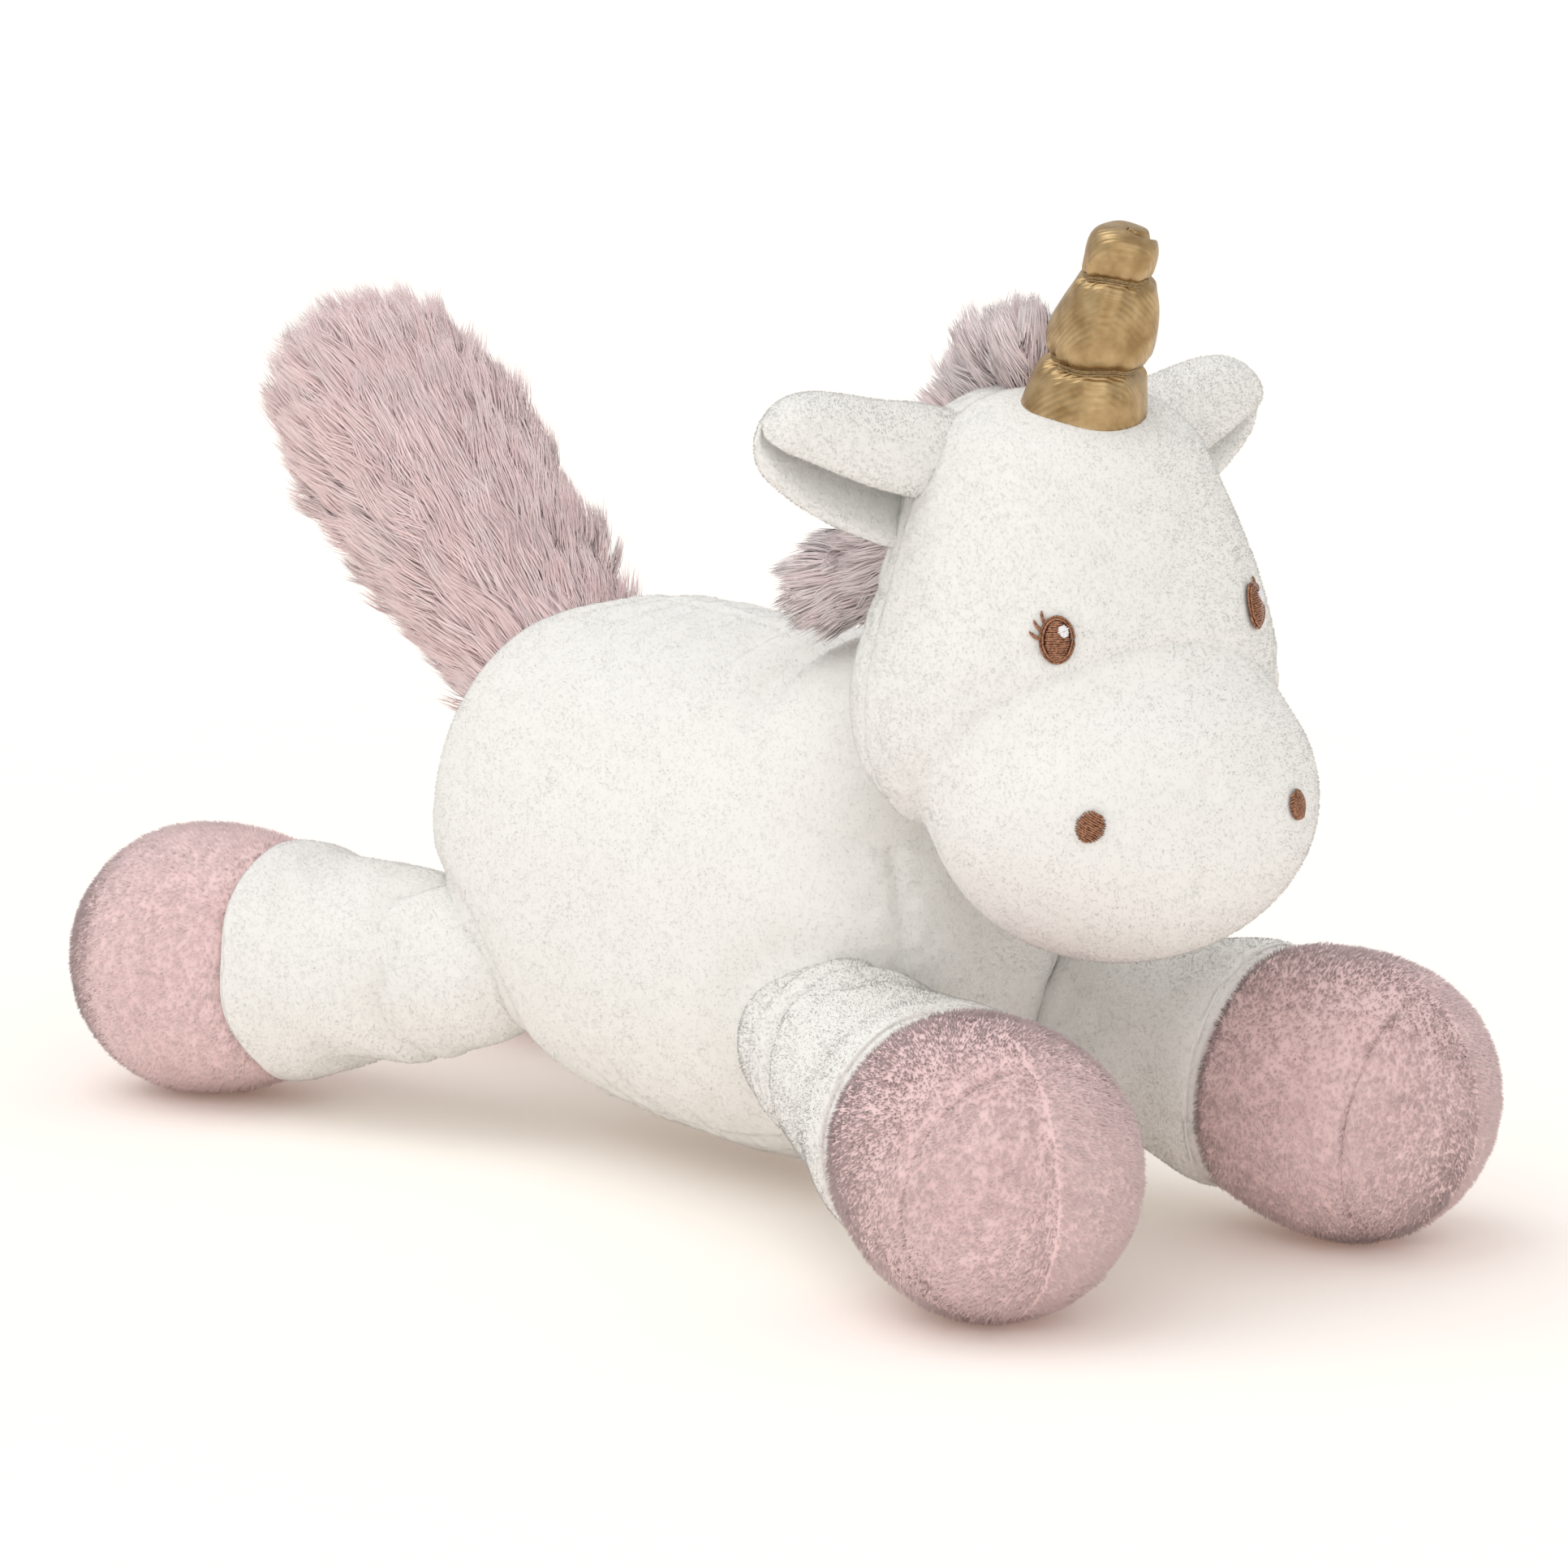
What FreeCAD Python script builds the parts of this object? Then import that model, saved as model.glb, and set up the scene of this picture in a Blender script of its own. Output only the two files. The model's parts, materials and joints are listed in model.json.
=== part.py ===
import FreeCAD, Part
import math
import os

# Plush unicorn lying on its belly: cut panels of short-pile fabric sewn round soft stuffing.
# Frame: millimetres, +Z up, the face looks along -Y, the toy's left side is +X.
# The origin is on the floor, under the middle of the toy's box.

VECTOR = FreeCAD.Vector
UP = VECTOR(0, 0, 1)
FORWARD = VECTOR(0, -1, 0)

# Driving dimensions.
SKIN = 2.0                       # plush fabric with its short pile
FILL_GAP = 0.1                   # between a skin and its stuffing
JOINT_GAP = 0.5                  # between bodies that move against each other
SEWN_GAP = 0.05                  # between the head and what is sewn on top of it
LEG_SWING_GAP = 4.4              # room that a swinging leg or tail needs beside its root
TAIL_SWING_GAP = 4.8
SWING_REACH = 0.75               # where that room is centred, in root radii out from the root

TORSO_LENGTH = 105.0
TORSO_WIDTH = 65.0
TORSO_HEIGHT = 69.0
TORSO_MIDDLE = VECTOR(0, 0, 39.5)
TORSO_RISE = 0.045               # the rump's middle lies higher than the chest's, per mm of length
RUMP_FULLNESS = 3.0              # exponents of the torso's outline, 2 is an ellipse
CHEST_FULLNESS = 2.5
GUSSET_WIDTH = 30.0              # belly and chest gusset between the two side panels
GUSSET_REAR = 34.0               # where its two seams meet the side panels under the rump
GUSSET_BELLY_DROP = 16.0         # its side seams run this far below the torso's middle,
GUSSET_CHEST_RISE = 6.0          # and on the chest climb this far above it,
GUSSET_CHEST_REAR = -30.0        # from here forwards

NECK = VECTOR(0, -43.5, 60)      # the head turns and nods about the middle of the neck wad
NECK_RADIUS = 14.0
HEAD_TURN_AT_REST = -8.5         # degrees about +Z, so the face looks a little to the toy's right
HEAD_TURN_LIMITS = (-12.0, 22.0)
HEAD_NOD_LIMITS = (-3.0, 10.0)

CRANIUM_WIDTH = 57.0             # across the cheeks
CRANIUM_TOP = 118.0
CRANIUM_BASE = 50.0
CRANIUM_BASE_Y = -70.5
CRANIUM_LEAN = 0.055             # backwards, per mm of height
MUZZLE_MIDDLE = VECTOR(0, -82.5, 66)
MUZZLE_WIDTH = 47.0
MUZZLE_DEPTH = 45.0
FACE_SEAM_Y = -62.0              # seam between the face panel and the two back panels
EYE_X = 16.5
EYE_Z = 89.3
NOSTRIL_X = 16.5
NOSTRIL_Z = 66.5
THREAD = 0.6                     # height of the embroidery above the fabric

HORN_BASE = VECTOR(-1.7, -72.5, 108)
HORN_TIP = VECTOR(0.4, -82.8, 142)
HORN_RADIUS = 8.8
HORN_PUFFS = ((0.25, 0.97), (0.58, 0.81))      # share of the length, share of the radius
HORN_WAISTS = ((0.467, 0.72), (0.814, 0.52))   # where the threads are wound
SATIN = 0.6
WRAP_THREAD = 0.9                # diameter of a winding of thread
THREAD_GAP = 0.12                # between the winding and the satin

MANE_TOP = VECTOR(0, -56, 128)
MANE_LOW = VECTOR(-9, -28.5, 81)
MANE_RADIUS = 9.0

EAR_ROOT = VECTOR(21.5, -58, 107)
EAR_LENGTH = 20.0
EAR_HEIGHT = 17.0                # of the folded ear, across its length
EAR_DEPTH = 9.0                  # from the lips of the fold to its back
EAR_LIFT = 19.0                  # degrees that the ear rises from its root to its tip

TAIL_ROOT = VECTOR(0, 44, 63)
TAIL_TIP = VECTOR(0, 104.4, 114)
TAIL_RADIUS = 18.0
TAIL_ROOT_RADIUS = 10.0
TAIL_PILE = 6.0
TAIL_LIMITS = (-15.0, 20.0)

HOOF_RADIUS = 20.2
HOOF_HEIGHT = 20.0               # the middle of a hoof above the floor
LEG_ROOT_RADIUS = 13.0
HOOF_SEAM_RADIUS = 17.0
HOOF_SEAM = -15.0                # places along a leg, from the middle of its hoof outwards
CAP_SEAM = 9.0
HOOF_END = 19.5
FRONT_ROOT = VECTOR(20, -38.5, 27)
FRONT_HOOF = VECTOR(33, -87.5, HOOF_HEIGHT)
HIND_ROOT = VECTOR(22, 36.5, 25)
HIND_HOOF = VECTOR(35, 84.5, HOOF_HEIGHT)
FRONT_LEG_LIMITS = (-4.0, 30.0)  # sweep about +Z, outwards positive on the left side
HIND_LEG_LIMITS = (-6.0, 22.0)   # lift about the level axis across the leg

HUGE = 400.0


def save(node, shape):
    """Write one sub-part."""
    shape.exportStep("parts/" + node + ".step")


def block(low, high):
    """A box between two corners."""
    size = high - low
    return Part.makeBox(size.x, size.y, size.z, low)


def half_space(side, edge=0.0):
    """Everything on one side of the plane x = edge: side is +1 or -1."""
    if side > 0:
        return block(VECTOR(edge, -HUGE, -HUGE), VECTOR(HUGE, HUGE, HUGE))
    return block(VECTOR(-HUGE, -HUGE, -HUGE), VECTOR(edge, HUGE, HUGE))


def ellipsoid(middle, radii):
    """A closed ellipsoid."""
    ball = Part.makeSphere(1.0)
    matrix = FreeCAD.Matrix()
    matrix.scale(radii.x, radii.y, radii.z)
    matrix.move(middle)
    return ball.transformGeometry(matrix)


def ellipse_wire(middle, across, along):
    """A closed ellipse given by its middle and its two half-axis vectors."""
    normal = across.cross(along).normalize()
    if across.Length >= along.Length:
        curve = Part.Ellipse(middle + across, middle + along, middle)
    else:
        curve = Part.Ellipse(middle + along, middle - across, middle)
    if curve.Axis.dot(normal) < 0:
        curve = Part.Ellipse(middle - across, middle + along, middle)
    return Part.Wire(curve.toShape())


def stations_loft(stations, normal):
    """A closed solid through round sections: each is (middle, half width along X, other half axis)."""
    side = VECTOR(1, 0, 0)
    other = normal.cross(side).normalize()
    wires = []
    for middle, half_width, half_depth in stations:
        circle = Part.Circle(VECTOR(0, 0, 0), VECTOR(0, 0, 1), 1.0).toShape()
        matrix = FreeCAD.Matrix(
            side.x * half_width, other.x * half_depth, 0, middle.x,
            side.y * half_width, other.y * half_depth, normal.y, middle.y,
            side.z * half_width, other.z * half_depth, normal.z, middle.z,
            0, 0, 0, 1)
        wires.append(Part.Wire(circle.transformGeometry(matrix)))
    return Part.makeLoft(wires, True, False)


def turned_solid(start, direction, outline):
    """A solid of revolution about an axis; outline holds (distance along the axis, radius)."""
    points = [VECTOR(radius, 0, distance) for distance, radius in outline]
    curve = Part.BSplineCurve()
    curve.interpolate(points)
    axis_edge = Part.makeLine(points[-1], points[0])
    face = Part.Face(Part.Wire([curve.toShape(), axis_edge]))
    solid = face.revolve(VECTOR(0, 0, 0), VECTOR(0, 0, 1), 360)
    solid.Placement = FreeCAD.Placement(start, FreeCAD.Rotation(VECTOR(0, 0, 1), direction))
    return solid


def dome(shoulder, tip, radius):
    """Outline of a round end, from its shoulder to its tip on the axis."""
    angles = [math.radians(angle) for angle in (0, 25, 48, 68, 82, 90)]
    points = [(shoulder + (tip - shoulder) * math.sin(a), radius * math.cos(a)) for a in angles]
    return points[:-1] + [(tip, 0.0)]


def capsule(start, start_shoulder, middle, end_shoulder, end, radii):
    """Outline with a dome at each end: radii are those at the two shoulders."""
    first = dome(start_shoulder, start, radii[0])
    return first[::-1] + middle + dome(end_shoulder, end, radii[1])


def slice_across(start, direction, low, high):
    """A thick disc that holds everything between two distances along an axis."""
    return Part.makeCylinder(HUGE / 4, high - low, start + direction * low, direction)


# ---------------------------------------------------------------- torso

def torso_solid(shrink=0.0):
    """The torso's outer shape, or the same shape with its surface moved in by shrink."""
    half_length = TORSO_LENGTH / 2 - shrink
    half_width = TORSO_WIDTH / 2 - shrink
    half_height = TORSO_HEIGHT / 2 - shrink
    stations = []
    for step in range(-10, 11):
        u = math.sin(math.radians(8.4 * step))
        power = RUMP_FULLNESS if u > 0 else CHEST_FULLNESS
        size = (1 - abs(u) ** power) ** (1 / power)
        y = u * half_length
        middle = TORSO_MIDDLE + VECTOR(0, y, TORSO_RISE * y)
        stations.append((middle, half_width * size, half_height * size))
    return stations_loft(stations, VECTOR(0, 1, 0))


def gusset_space():
    """The space of the belly and chest gusset: a band under the torso and up its front."""
    half = GUSSET_WIDTH / 2
    corner = VECTOR(-half, -TORSO_LENGTH, -HUGE)
    belly = block(corner, VECTOR(half, GUSSET_REAR, TORSO_MIDDLE.z - GUSSET_BELLY_DROP))
    chest = block(corner, VECTOR(half, GUSSET_CHEST_REAR, TORSO_MIDDLE.z + GUSSET_CHEST_RISE))
    return belly.fuse(chest)


def swept_room(root, along, axis, limits, ball, clear):
    """Two balls that clear a limb's round root and the first stretch of the limb as it swings."""
    middle_way = FreeCAD.Rotation(axis, (limits[0] + limits[1]) / 2).multVec(along)
    middle_way.normalize()
    outer = root + middle_way * ball * SWING_REACH
    return [Part.makeSphere(ball + JOINT_GAP, root), Part.makeSphere(ball + clear, outer)]


def torso_room():
    """The spaces that the neck wad, the legs and the tail need as they move."""
    tools = [Part.makeSphere(NECK_RADIUS + JOINT_GAP, NECK)]
    tail_way = TAIL_TIP - TAIL_ROOT
    tools += swept_room(TAIL_ROOT, tail_way, VECTOR(1, 0, 0), TAIL_LIMITS, TAIL_ROOT_RADIUS, TAIL_SWING_GAP)
    for side in (-1, 1):
        for root, hoof, limits, axis in leg_set(side):
            tools += swept_room(root, hoof - root, axis, limits, LEG_ROOT_RADIUS, LEG_SWING_GAP)
    return tools


def build_torso():
    """Two side panels, the gusset and the stuffing."""
    outer = torso_solid()
    fabric = outer.cut(torso_solid(SKIN))
    fill = torso_solid(SKIN + FILL_GAP)
    for tool in torso_room():
        fabric = fabric.cut(tool)
        fill = fill.cut(tool)
    space = gusset_space()
    save("torso_belly_gusset", fabric.common(space))
    sides = fabric.cut(space)
    save("torso_left_panel", sides.common(half_space(1)))
    save("torso_right_panel", sides.common(half_space(-1)))
    save("torso_stuffing", fill)
    save("neck_stuffing", Part.makeSphere(NECK_RADIUS, NECK))


# ---------------------------------------------------------------- legs

def leg_set(side):
    """Root, hoof, limits and hinge axis of the front and the hind leg on one side."""
    mirror = VECTOR(side, 1, 1)

    def on_side(point):
        return VECTOR(point.x * mirror.x, point.y, point.z)

    front = (on_side(FRONT_ROOT), on_side(FRONT_HOOF), FRONT_LEG_LIMITS, VECTOR(0, 0, side))
    along = (on_side(HIND_HOOF) - on_side(HIND_ROOT)).normalize()
    across = along.cross(UP).normalize()
    hind = (on_side(HIND_ROOT), on_side(HIND_HOOF), HIND_LEG_LIMITS, across)
    return front, hind


def leg_outline(length, shrink):
    """Outline of a leg with its hoof, from the ball in the torso to the end of the hoof."""
    ball = LEG_ROOT_RADIUS - shrink
    middle = [
        (-length * 0.62, ball + 0.6),
        (HOOF_SEAM, HOOF_SEAM_RADIUS - shrink),
        (HOOF_SEAM / 2, HOOF_RADIUS - 0.8 - shrink)]
    hoof = HOOF_RADIUS - shrink
    return capsule(-length - ball, -length, middle, 0.0, HOOF_END - shrink, (ball, hoof))


def leg_solid(root, hoof, shrink=0.0):
    """A whole leg with its hoof, its surface moved in by shrink."""
    along = hoof - root
    return turned_solid(hoof, along, leg_outline(along.Length, shrink))


def build_leg(name, root, hoof):
    """Sleeve, hoof band, hoof cap and stuffing of one leg."""
    floor = block(VECTOR(-HUGE, -HUGE, -HUGE), VECTOR(HUGE, HUGE, 0))
    along = (hoof - root).normalize()
    fabric = leg_solid(root, hoof).cut(leg_solid(root, hoof, SKIN)).cut(floor)
    save(name + "_sleeve", fabric.common(slice_across(hoof, along, -HUGE / 4, HOOF_SEAM)))
    save(name + "_hoof_band", fabric.common(slice_across(hoof, along, HOOF_SEAM, CAP_SEAM)))
    save(name + "_hoof_cap", fabric.common(slice_across(hoof, along, CAP_SEAM, HOOF_END * 2)))
    save(name + "_stuffing", leg_solid(root, hoof, SKIN + FILL_GAP))


# ---------------------------------------------------------------- tail

def tail_solid(grow=0.0):
    """The tail up to the dense part of its pile, its surface moved out by grow."""
    along = TAIL_TIP - TAIL_ROOT
    length = along.Length
    root = TAIL_ROOT_RADIUS + grow
    middle = [(length * 0.30, TAIL_RADIUS * 0.86 + grow)]
    outline = capsule(-root, 0.0, middle, length * 0.60, length + grow, (root, TAIL_RADIUS + grow))
    return turned_solid(TAIL_ROOT, along, outline)


def build_tail():
    """Two long-pile panels, sewn along the middle, and the stuffing."""
    fabric = tail_solid().cut(tail_solid(-TAIL_PILE))
    save("tail_left_panel", fabric.common(half_space(1)))
    save("tail_right_panel", fabric.common(half_space(-1)))
    save("tail_stuffing", tail_solid(-TAIL_PILE - FILL_GAP))


# ---------------------------------------------------------------- head

def cranium_solid(grow=0.0):
    """The head without its muzzle: a narrow crown that widens to full cheeks."""
    cheek = CRANIUM_WIDTH / 2
    height = CRANIUM_TOP - CRANIUM_BASE
    shape = ((0.45, 0.95), (0.63, 0.82), (0.76, 0.70))
    middle = [(height * place, cheek * size + grow) for place, size in shape]
    crown = cheek * 0.60 + grow
    outline = capsule(-grow, height * 0.30, middle, height * 0.85, height + grow, (cheek + grow, crown))
    base = VECTOR(0, CRANIUM_BASE_Y, CRANIUM_BASE)
    return turned_solid(base, VECTOR(0, CRANIUM_LEAN, 1), outline)


def muzzle_solid(grow=0.0):
    """The round muzzle in front of the cheeks."""
    half = MUZZLE_DEPTH / 2 + grow
    radius = MUZZLE_WIDTH / 2 + grow
    outline = dome(0.0, -half, radius)[:0:-1] + dome(0.0, half, radius)
    return turned_solid(MUZZLE_MIDDLE, FORWARD, outline)


def head_solid(grow=0.0):
    """Cranium and muzzle together."""
    return cranium_solid(grow).fuse(muzzle_solid(grow))


def turned(shape):
    """A head piece, built facing straight ahead, turned to its rest place."""
    copy = shape.copy()
    copy.rotate(NECK, UP, HEAD_TURN_AT_REST)
    return copy


def upright_prism(middle, half_width, half_height):
    """An elliptical prism from a point inside the head out through the face."""
    wire = ellipse_wire(middle, VECTOR(half_width, 0, 0), VECTOR(0, 0, half_height))
    return Part.Face(wire).extrude(FORWARD * 30)


def build_face_threads():
    """Eyes with their highlights, and nostrils: thin patches of thread that follow the face."""
    face = head_solid(0.0)
    raised = head_solid(THREAD)
    thread_layer = raised.cut(face)
    light_layer = head_solid(THREAD * 1.7).cut(raised)
    for side, name in ((1, "left"), (-1, "right")):
        eye = VECTOR(side * EYE_X, MUZZLE_MIDDLE.y, EYE_Z)
        light = eye + VECTOR(0.9, 0, 1.3)
        nostril = VECTOR(side * NOSTRIL_X, MUZZLE_MIDDLE.y, NOSTRIL_Z)
        save(name + "_eye_embroidery", turned(thread_layer.common(upright_prism(eye, 3.0, 3.6))))
        save(name + "_eye_highlight", turned(light_layer.common(upright_prism(light, 0.9, 1.1))))
        save(name + "_nostril_embroidery", turned(thread_layer.common(upright_prism(nostril, 2.1, 2.0))))


def build_head_panels():
    """Face, muzzle and back panels, and the stuffing."""
    outer = cranium_solid()
    muzzle = muzzle_solid()
    neck_room = Part.makeSphere(NECK_RADIUS + JOINT_GAP, NECK)
    fabric = outer.cut(cranium_solid(-SKIN)).cut(neck_room)
    front = block(VECTOR(-HUGE, -HUGE, -HUGE), VECTOR(HUGE, FACE_SEAM_Y, HUGE))
    save("head_face_panel", turned(fabric.common(front).cut(muzzle)))
    backs = fabric.cut(front)
    save("head_back_left_panel", turned(backs.common(half_space(1))))
    save("head_back_right_panel", turned(backs.common(half_space(-1))))
    muzzle_fabric = muzzle.cut(muzzle_solid(-SKIN)).cut(outer)
    save("head_muzzle_panel", turned(muzzle_fabric))
    fill = head_solid(-SKIN - FILL_GAP).cut(neck_room)
    save("head_stuffing", turned(fill))


def horn_outline(shrink):
    """Outline of the horn: soft puffs between two thread cinches, and a gathered tip."""
    length = (HORN_TIP - HORN_BASE).Length
    shape = sorted(HORN_PUFFS + HORN_WAISTS)
    middle = [(length * place, HORN_RADIUS * size - shrink) for place, size in shape]
    base = HORN_RADIUS * 0.96 - shrink
    tip = HORN_RADIUS * 0.56 - shrink
    return capsule(shrink, length * 0.10, middle, length * 0.90, length - shrink, (base, tip))


def build_horn():
    """Satin sleeve, stuffing and the threads that cinch it."""
    along = HORN_TIP - HORN_BASE
    length = along.Length
    head = cranium_solid(SEWN_GAP)
    outer = turned_solid(HORN_BASE, along, horn_outline(0.0))
    inner = turned_solid(HORN_BASE, along, horn_outline(SATIN))
    fill = turned_solid(HORN_BASE, along, horn_outline(SATIN + FILL_GAP))
    save("horn_satin_sleeve", turned(outer.cut(inner).cut(head)))
    save("horn_stuffing", turned(fill.cut(head)))
    threads = []
    clear_of = turned_solid(HORN_BASE, along, horn_outline(-THREAD_GAP))
    for share, size in HORN_WAISTS:
        place = HORN_BASE + along * share
        ring = Part.makeTorus(HORN_RADIUS * size + WRAP_THREAD / 2, WRAP_THREAD / 2, place, along)
        outside = ring.cut(clear_of)
        threads.append(max(outside.Solids, key=lambda solid: solid.Volume))
    save("horn_wrap_threads", turned(Part.makeCompound(threads)))


def mane_solid(grow=0.0):
    """The mane: a thick roll of long pile from behind the horn down the nape."""
    along = MANE_LOW - MANE_TOP
    length = along.Length
    radius = MANE_RADIUS + grow
    outline = capsule(-grow, length * 0.22, [(length * 0.5, radius)], length * 0.80, length + grow,
                      (radius, radius))
    return turned_solid(MANE_TOP, along, outline)


def build_mane():
    """Two long-pile panels sewn along the ridge, and the thin stuffing between them."""
    head = cranium_solid(SEWN_GAP)
    pile = MANE_RADIUS * 0.55
    outer = mane_solid().cut(head)
    fill = mane_solid(-pile - FILL_GAP).cut(head)
    fabric = outer.cut(mane_solid(-pile))
    ridge = (MANE_TOP.x + MANE_LOW.x) / 2
    save("mane_left_panel", turned(fabric.common(half_space(1, ridge))))
    save("mane_right_panel", turned(fabric.common(half_space(-1, ridge))))
    save("mane_stuffing", turned(fill))


def build_ears():
    """Each ear: an outer layer behind and a lining in front, closed round the rim."""
    half = VECTOR(EAR_LENGTH / 2, EAR_DEPTH / 2, EAR_HEIGHT / 2)
    for side, name in ((1, "left"), (-1, "right")):
        root = VECTOR(side * EAR_ROOT.x, EAR_ROOT.y, EAR_ROOT.z)
        pad = ellipsoid(root + VECTOR(side * half.x, 0, 0), half)
        front = block(VECTOR(-HUGE, -HUGE, -HUGE), VECTOR(HUGE, root.y, HUGE))
        for layer, shape in (("lining", pad.common(front)), ("outer", pad.cut(front))):
            shape.rotate(root, VECTOR(0, -side, 0), EAR_LIFT)
            save(name + "_ear_" + layer, turned(shape))


def main():
    os.makedirs("parts", exist_ok=True)
    build_torso()
    for side, side_name in ((1, "left"), (-1, "right")):
        for (root, hoof, _, _), place in zip(leg_set(side), ("front", "hind")):
            build_leg(side_name + "_" + place + "_leg", root, hoof)
    build_tail()
    build_head_panels()
    build_face_threads()
    build_horn()
    build_mane()
    build_ears()


main()
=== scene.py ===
import json
import math

import bpy
import numpy as np
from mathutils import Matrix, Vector
from mathutils.bvhtree import BVHTree


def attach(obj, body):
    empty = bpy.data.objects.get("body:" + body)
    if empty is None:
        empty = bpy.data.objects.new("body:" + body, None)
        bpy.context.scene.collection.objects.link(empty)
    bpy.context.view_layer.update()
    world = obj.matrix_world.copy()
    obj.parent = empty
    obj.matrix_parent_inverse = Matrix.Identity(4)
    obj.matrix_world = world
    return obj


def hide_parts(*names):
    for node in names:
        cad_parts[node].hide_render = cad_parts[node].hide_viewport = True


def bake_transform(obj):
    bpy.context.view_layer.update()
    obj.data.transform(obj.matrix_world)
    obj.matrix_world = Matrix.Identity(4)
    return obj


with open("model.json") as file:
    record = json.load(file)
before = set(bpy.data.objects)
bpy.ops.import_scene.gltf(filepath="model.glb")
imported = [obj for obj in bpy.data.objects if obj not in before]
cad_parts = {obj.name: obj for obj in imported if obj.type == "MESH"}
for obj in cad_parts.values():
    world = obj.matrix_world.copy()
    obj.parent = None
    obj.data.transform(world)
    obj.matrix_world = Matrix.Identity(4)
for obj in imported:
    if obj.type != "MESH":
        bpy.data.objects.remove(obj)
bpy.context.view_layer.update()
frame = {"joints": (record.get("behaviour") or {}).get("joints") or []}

# A lying plush unicorn. Shapes are worked out in millimetres in the row's frame and turned into
# metres when a mesh is made. The face looks along -Y, the toy's left side is +X.

MM = 0.001
RNG = np.random.default_rng(20)
LEGS = [(side, place) for side in ("left", "right") for place in ("front", "hind")]
JOINTS = {joint["name"]: joint for joint in frame["joints"]}

HEAD_TURN = math.radians(-8.5)       # the face looks a little to the toy's right at rest
NECK = np.array(JOINTS["head_turn"]["pos_m"]) / MM
FAR = 99.0                           # a distance from a seam that isn't there


# ---------------------------------------------------------------- mesh tools

def new_object(name, points, faces, materials=(), slots=None, smooth=True):
    """A mesh object from points in millimetres and rows of triangles or quads."""
    mesh = bpy.data.meshes.new(name)
    points = np.asarray(points, float) * MM
    faces = np.asarray(faces, int)
    count, corners = faces.shape
    mesh.vertices.add(len(points))
    mesh.vertices.foreach_set("co", points.ravel())
    mesh.loops.add(count * corners)
    mesh.loops.foreach_set("vertex_index", faces.ravel())
    mesh.polygons.add(count)
    mesh.polygons.foreach_set("loop_start", np.arange(count) * corners)
    for material in materials:
        mesh.materials.append(material)
    if slots is not None:
        mesh.polygons.foreach_set("material_index", slots)
    mesh.update(calc_edges=True)
    if smooth:
        mesh.shade_smooth()
    piece = bpy.data.objects.new(name, mesh)
    bpy.context.scene.collection.objects.link(piece)
    return piece


def mesh_points(mesh):
    """The mesh's points in millimetres."""
    flat = np.empty(len(mesh.vertices) * 3)
    mesh.vertices.foreach_get("co", flat)
    return flat.reshape(-1, 3) / MM


def mesh_normals(mesh):
    """The mesh's smooth normals at its points."""
    flat = np.empty(len(mesh.vertices) * 3)
    mesh.vertex_normals.foreach_get("vector", flat)
    return flat.reshape(-1, 3)


def set_points(mesh, points):
    """Moves the mesh's points, given in millimetres."""
    mesh.vertices.foreach_set("co", (points * MM).ravel())
    mesh.update()


def mesh_triangles(mesh):
    """The mesh's faces as rows of three point numbers."""
    mesh.calc_loop_triangles()
    flat = np.empty(len(mesh.loop_triangles) * 3, int)
    mesh.loop_triangles.foreach_get("vertices", flat)
    return flat.reshape(-1, 3)


def unit(vectors):
    """Vectors of length one."""
    length = np.linalg.norm(vectors, axis=-1, keepdims=True)
    return vectors / np.maximum(length, 1e-9)


def tube(rings):
    """Points and triangles of a closed tube: rings is an array of rings, round points, 3."""
    count, around, _ = rings.shape
    points = [rings.reshape(-1, 3), rings[0].mean(0)[None], rings[-1].mean(0)[None]]
    first = count * around
    triangles = []
    for i in range(count - 1):
        for j in range(around):
            here, there = i * around + j, i * around + (j + 1) % around
            triangles.append((here, here + around, there + around))
            triangles.append((here, there + around, there))
    for j in range(around):
        k = (j + 1) % around
        triangles.append((first, j, k))
        triangles.append((first + 1, first - around + k, first - around + j))
    return np.concatenate(points), np.array(triangles)


def tube_object(name, tubes, materials=()):
    """One or more closed tubes as an object."""
    points, triangles, start = [], [], 0
    for rings in tubes:
        own_points, own_triangles = tube(rings)
        points.append(own_points)
        triangles.append(own_triangles + start)
        start += len(own_points)
    return new_object(name, np.concatenate(points), np.concatenate(triangles), materials)


def ring(middle, along, wide, deep, up, power=2.0, around=72):
    """One round section about a point, wide across and deep along the up vector."""
    along = unit(np.asarray(along, float))
    side = unit(np.cross(along, up))
    top = np.cross(side, along)
    angle = np.linspace(0, 2 * math.pi, around, endpoint=False)
    c, s = np.cos(angle), np.sin(angle)
    x = np.sign(c) * np.abs(c) ** (2 / power) * wide
    y = np.sign(s) * np.abs(s) ** (2 / power) * deep
    return np.asarray(middle) + x[:, None] * side + y[:, None] * top


def run_along(line):
    """Direction of a line of rows (x, y, z, size) at each of its rows."""
    places = line[:, :3]
    return np.concatenate([places[1:], places[-1:]]) - np.concatenate([places[:1], places[:-1]])


def smooth_rows(rows, count):
    """Rows of numbers resampled along a smooth curve through them."""
    rows = np.asarray(rows, float)
    keys = np.linspace(0, 1, len(rows))
    places = np.linspace(0, 1, count)
    padded = np.vstack([2 * rows[0] - rows[1], rows, 2 * rows[-1] - rows[-2]])
    position = places * (len(rows) - 1)
    index = np.minimum(position.astype(int), len(rows) - 2)
    t = (position - index)[:, None]
    p0, p1, p2, p3 = (padded[index + k] for k in range(4))
    return 0.5 * (2 * p1 + (p2 - p0) * t + (2 * p0 - 5 * p1 + 4 * p2 - p3) * t ** 2
                  + (3 * p1 - p0 - 3 * p2 + p3) * t ** 3)


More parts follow.
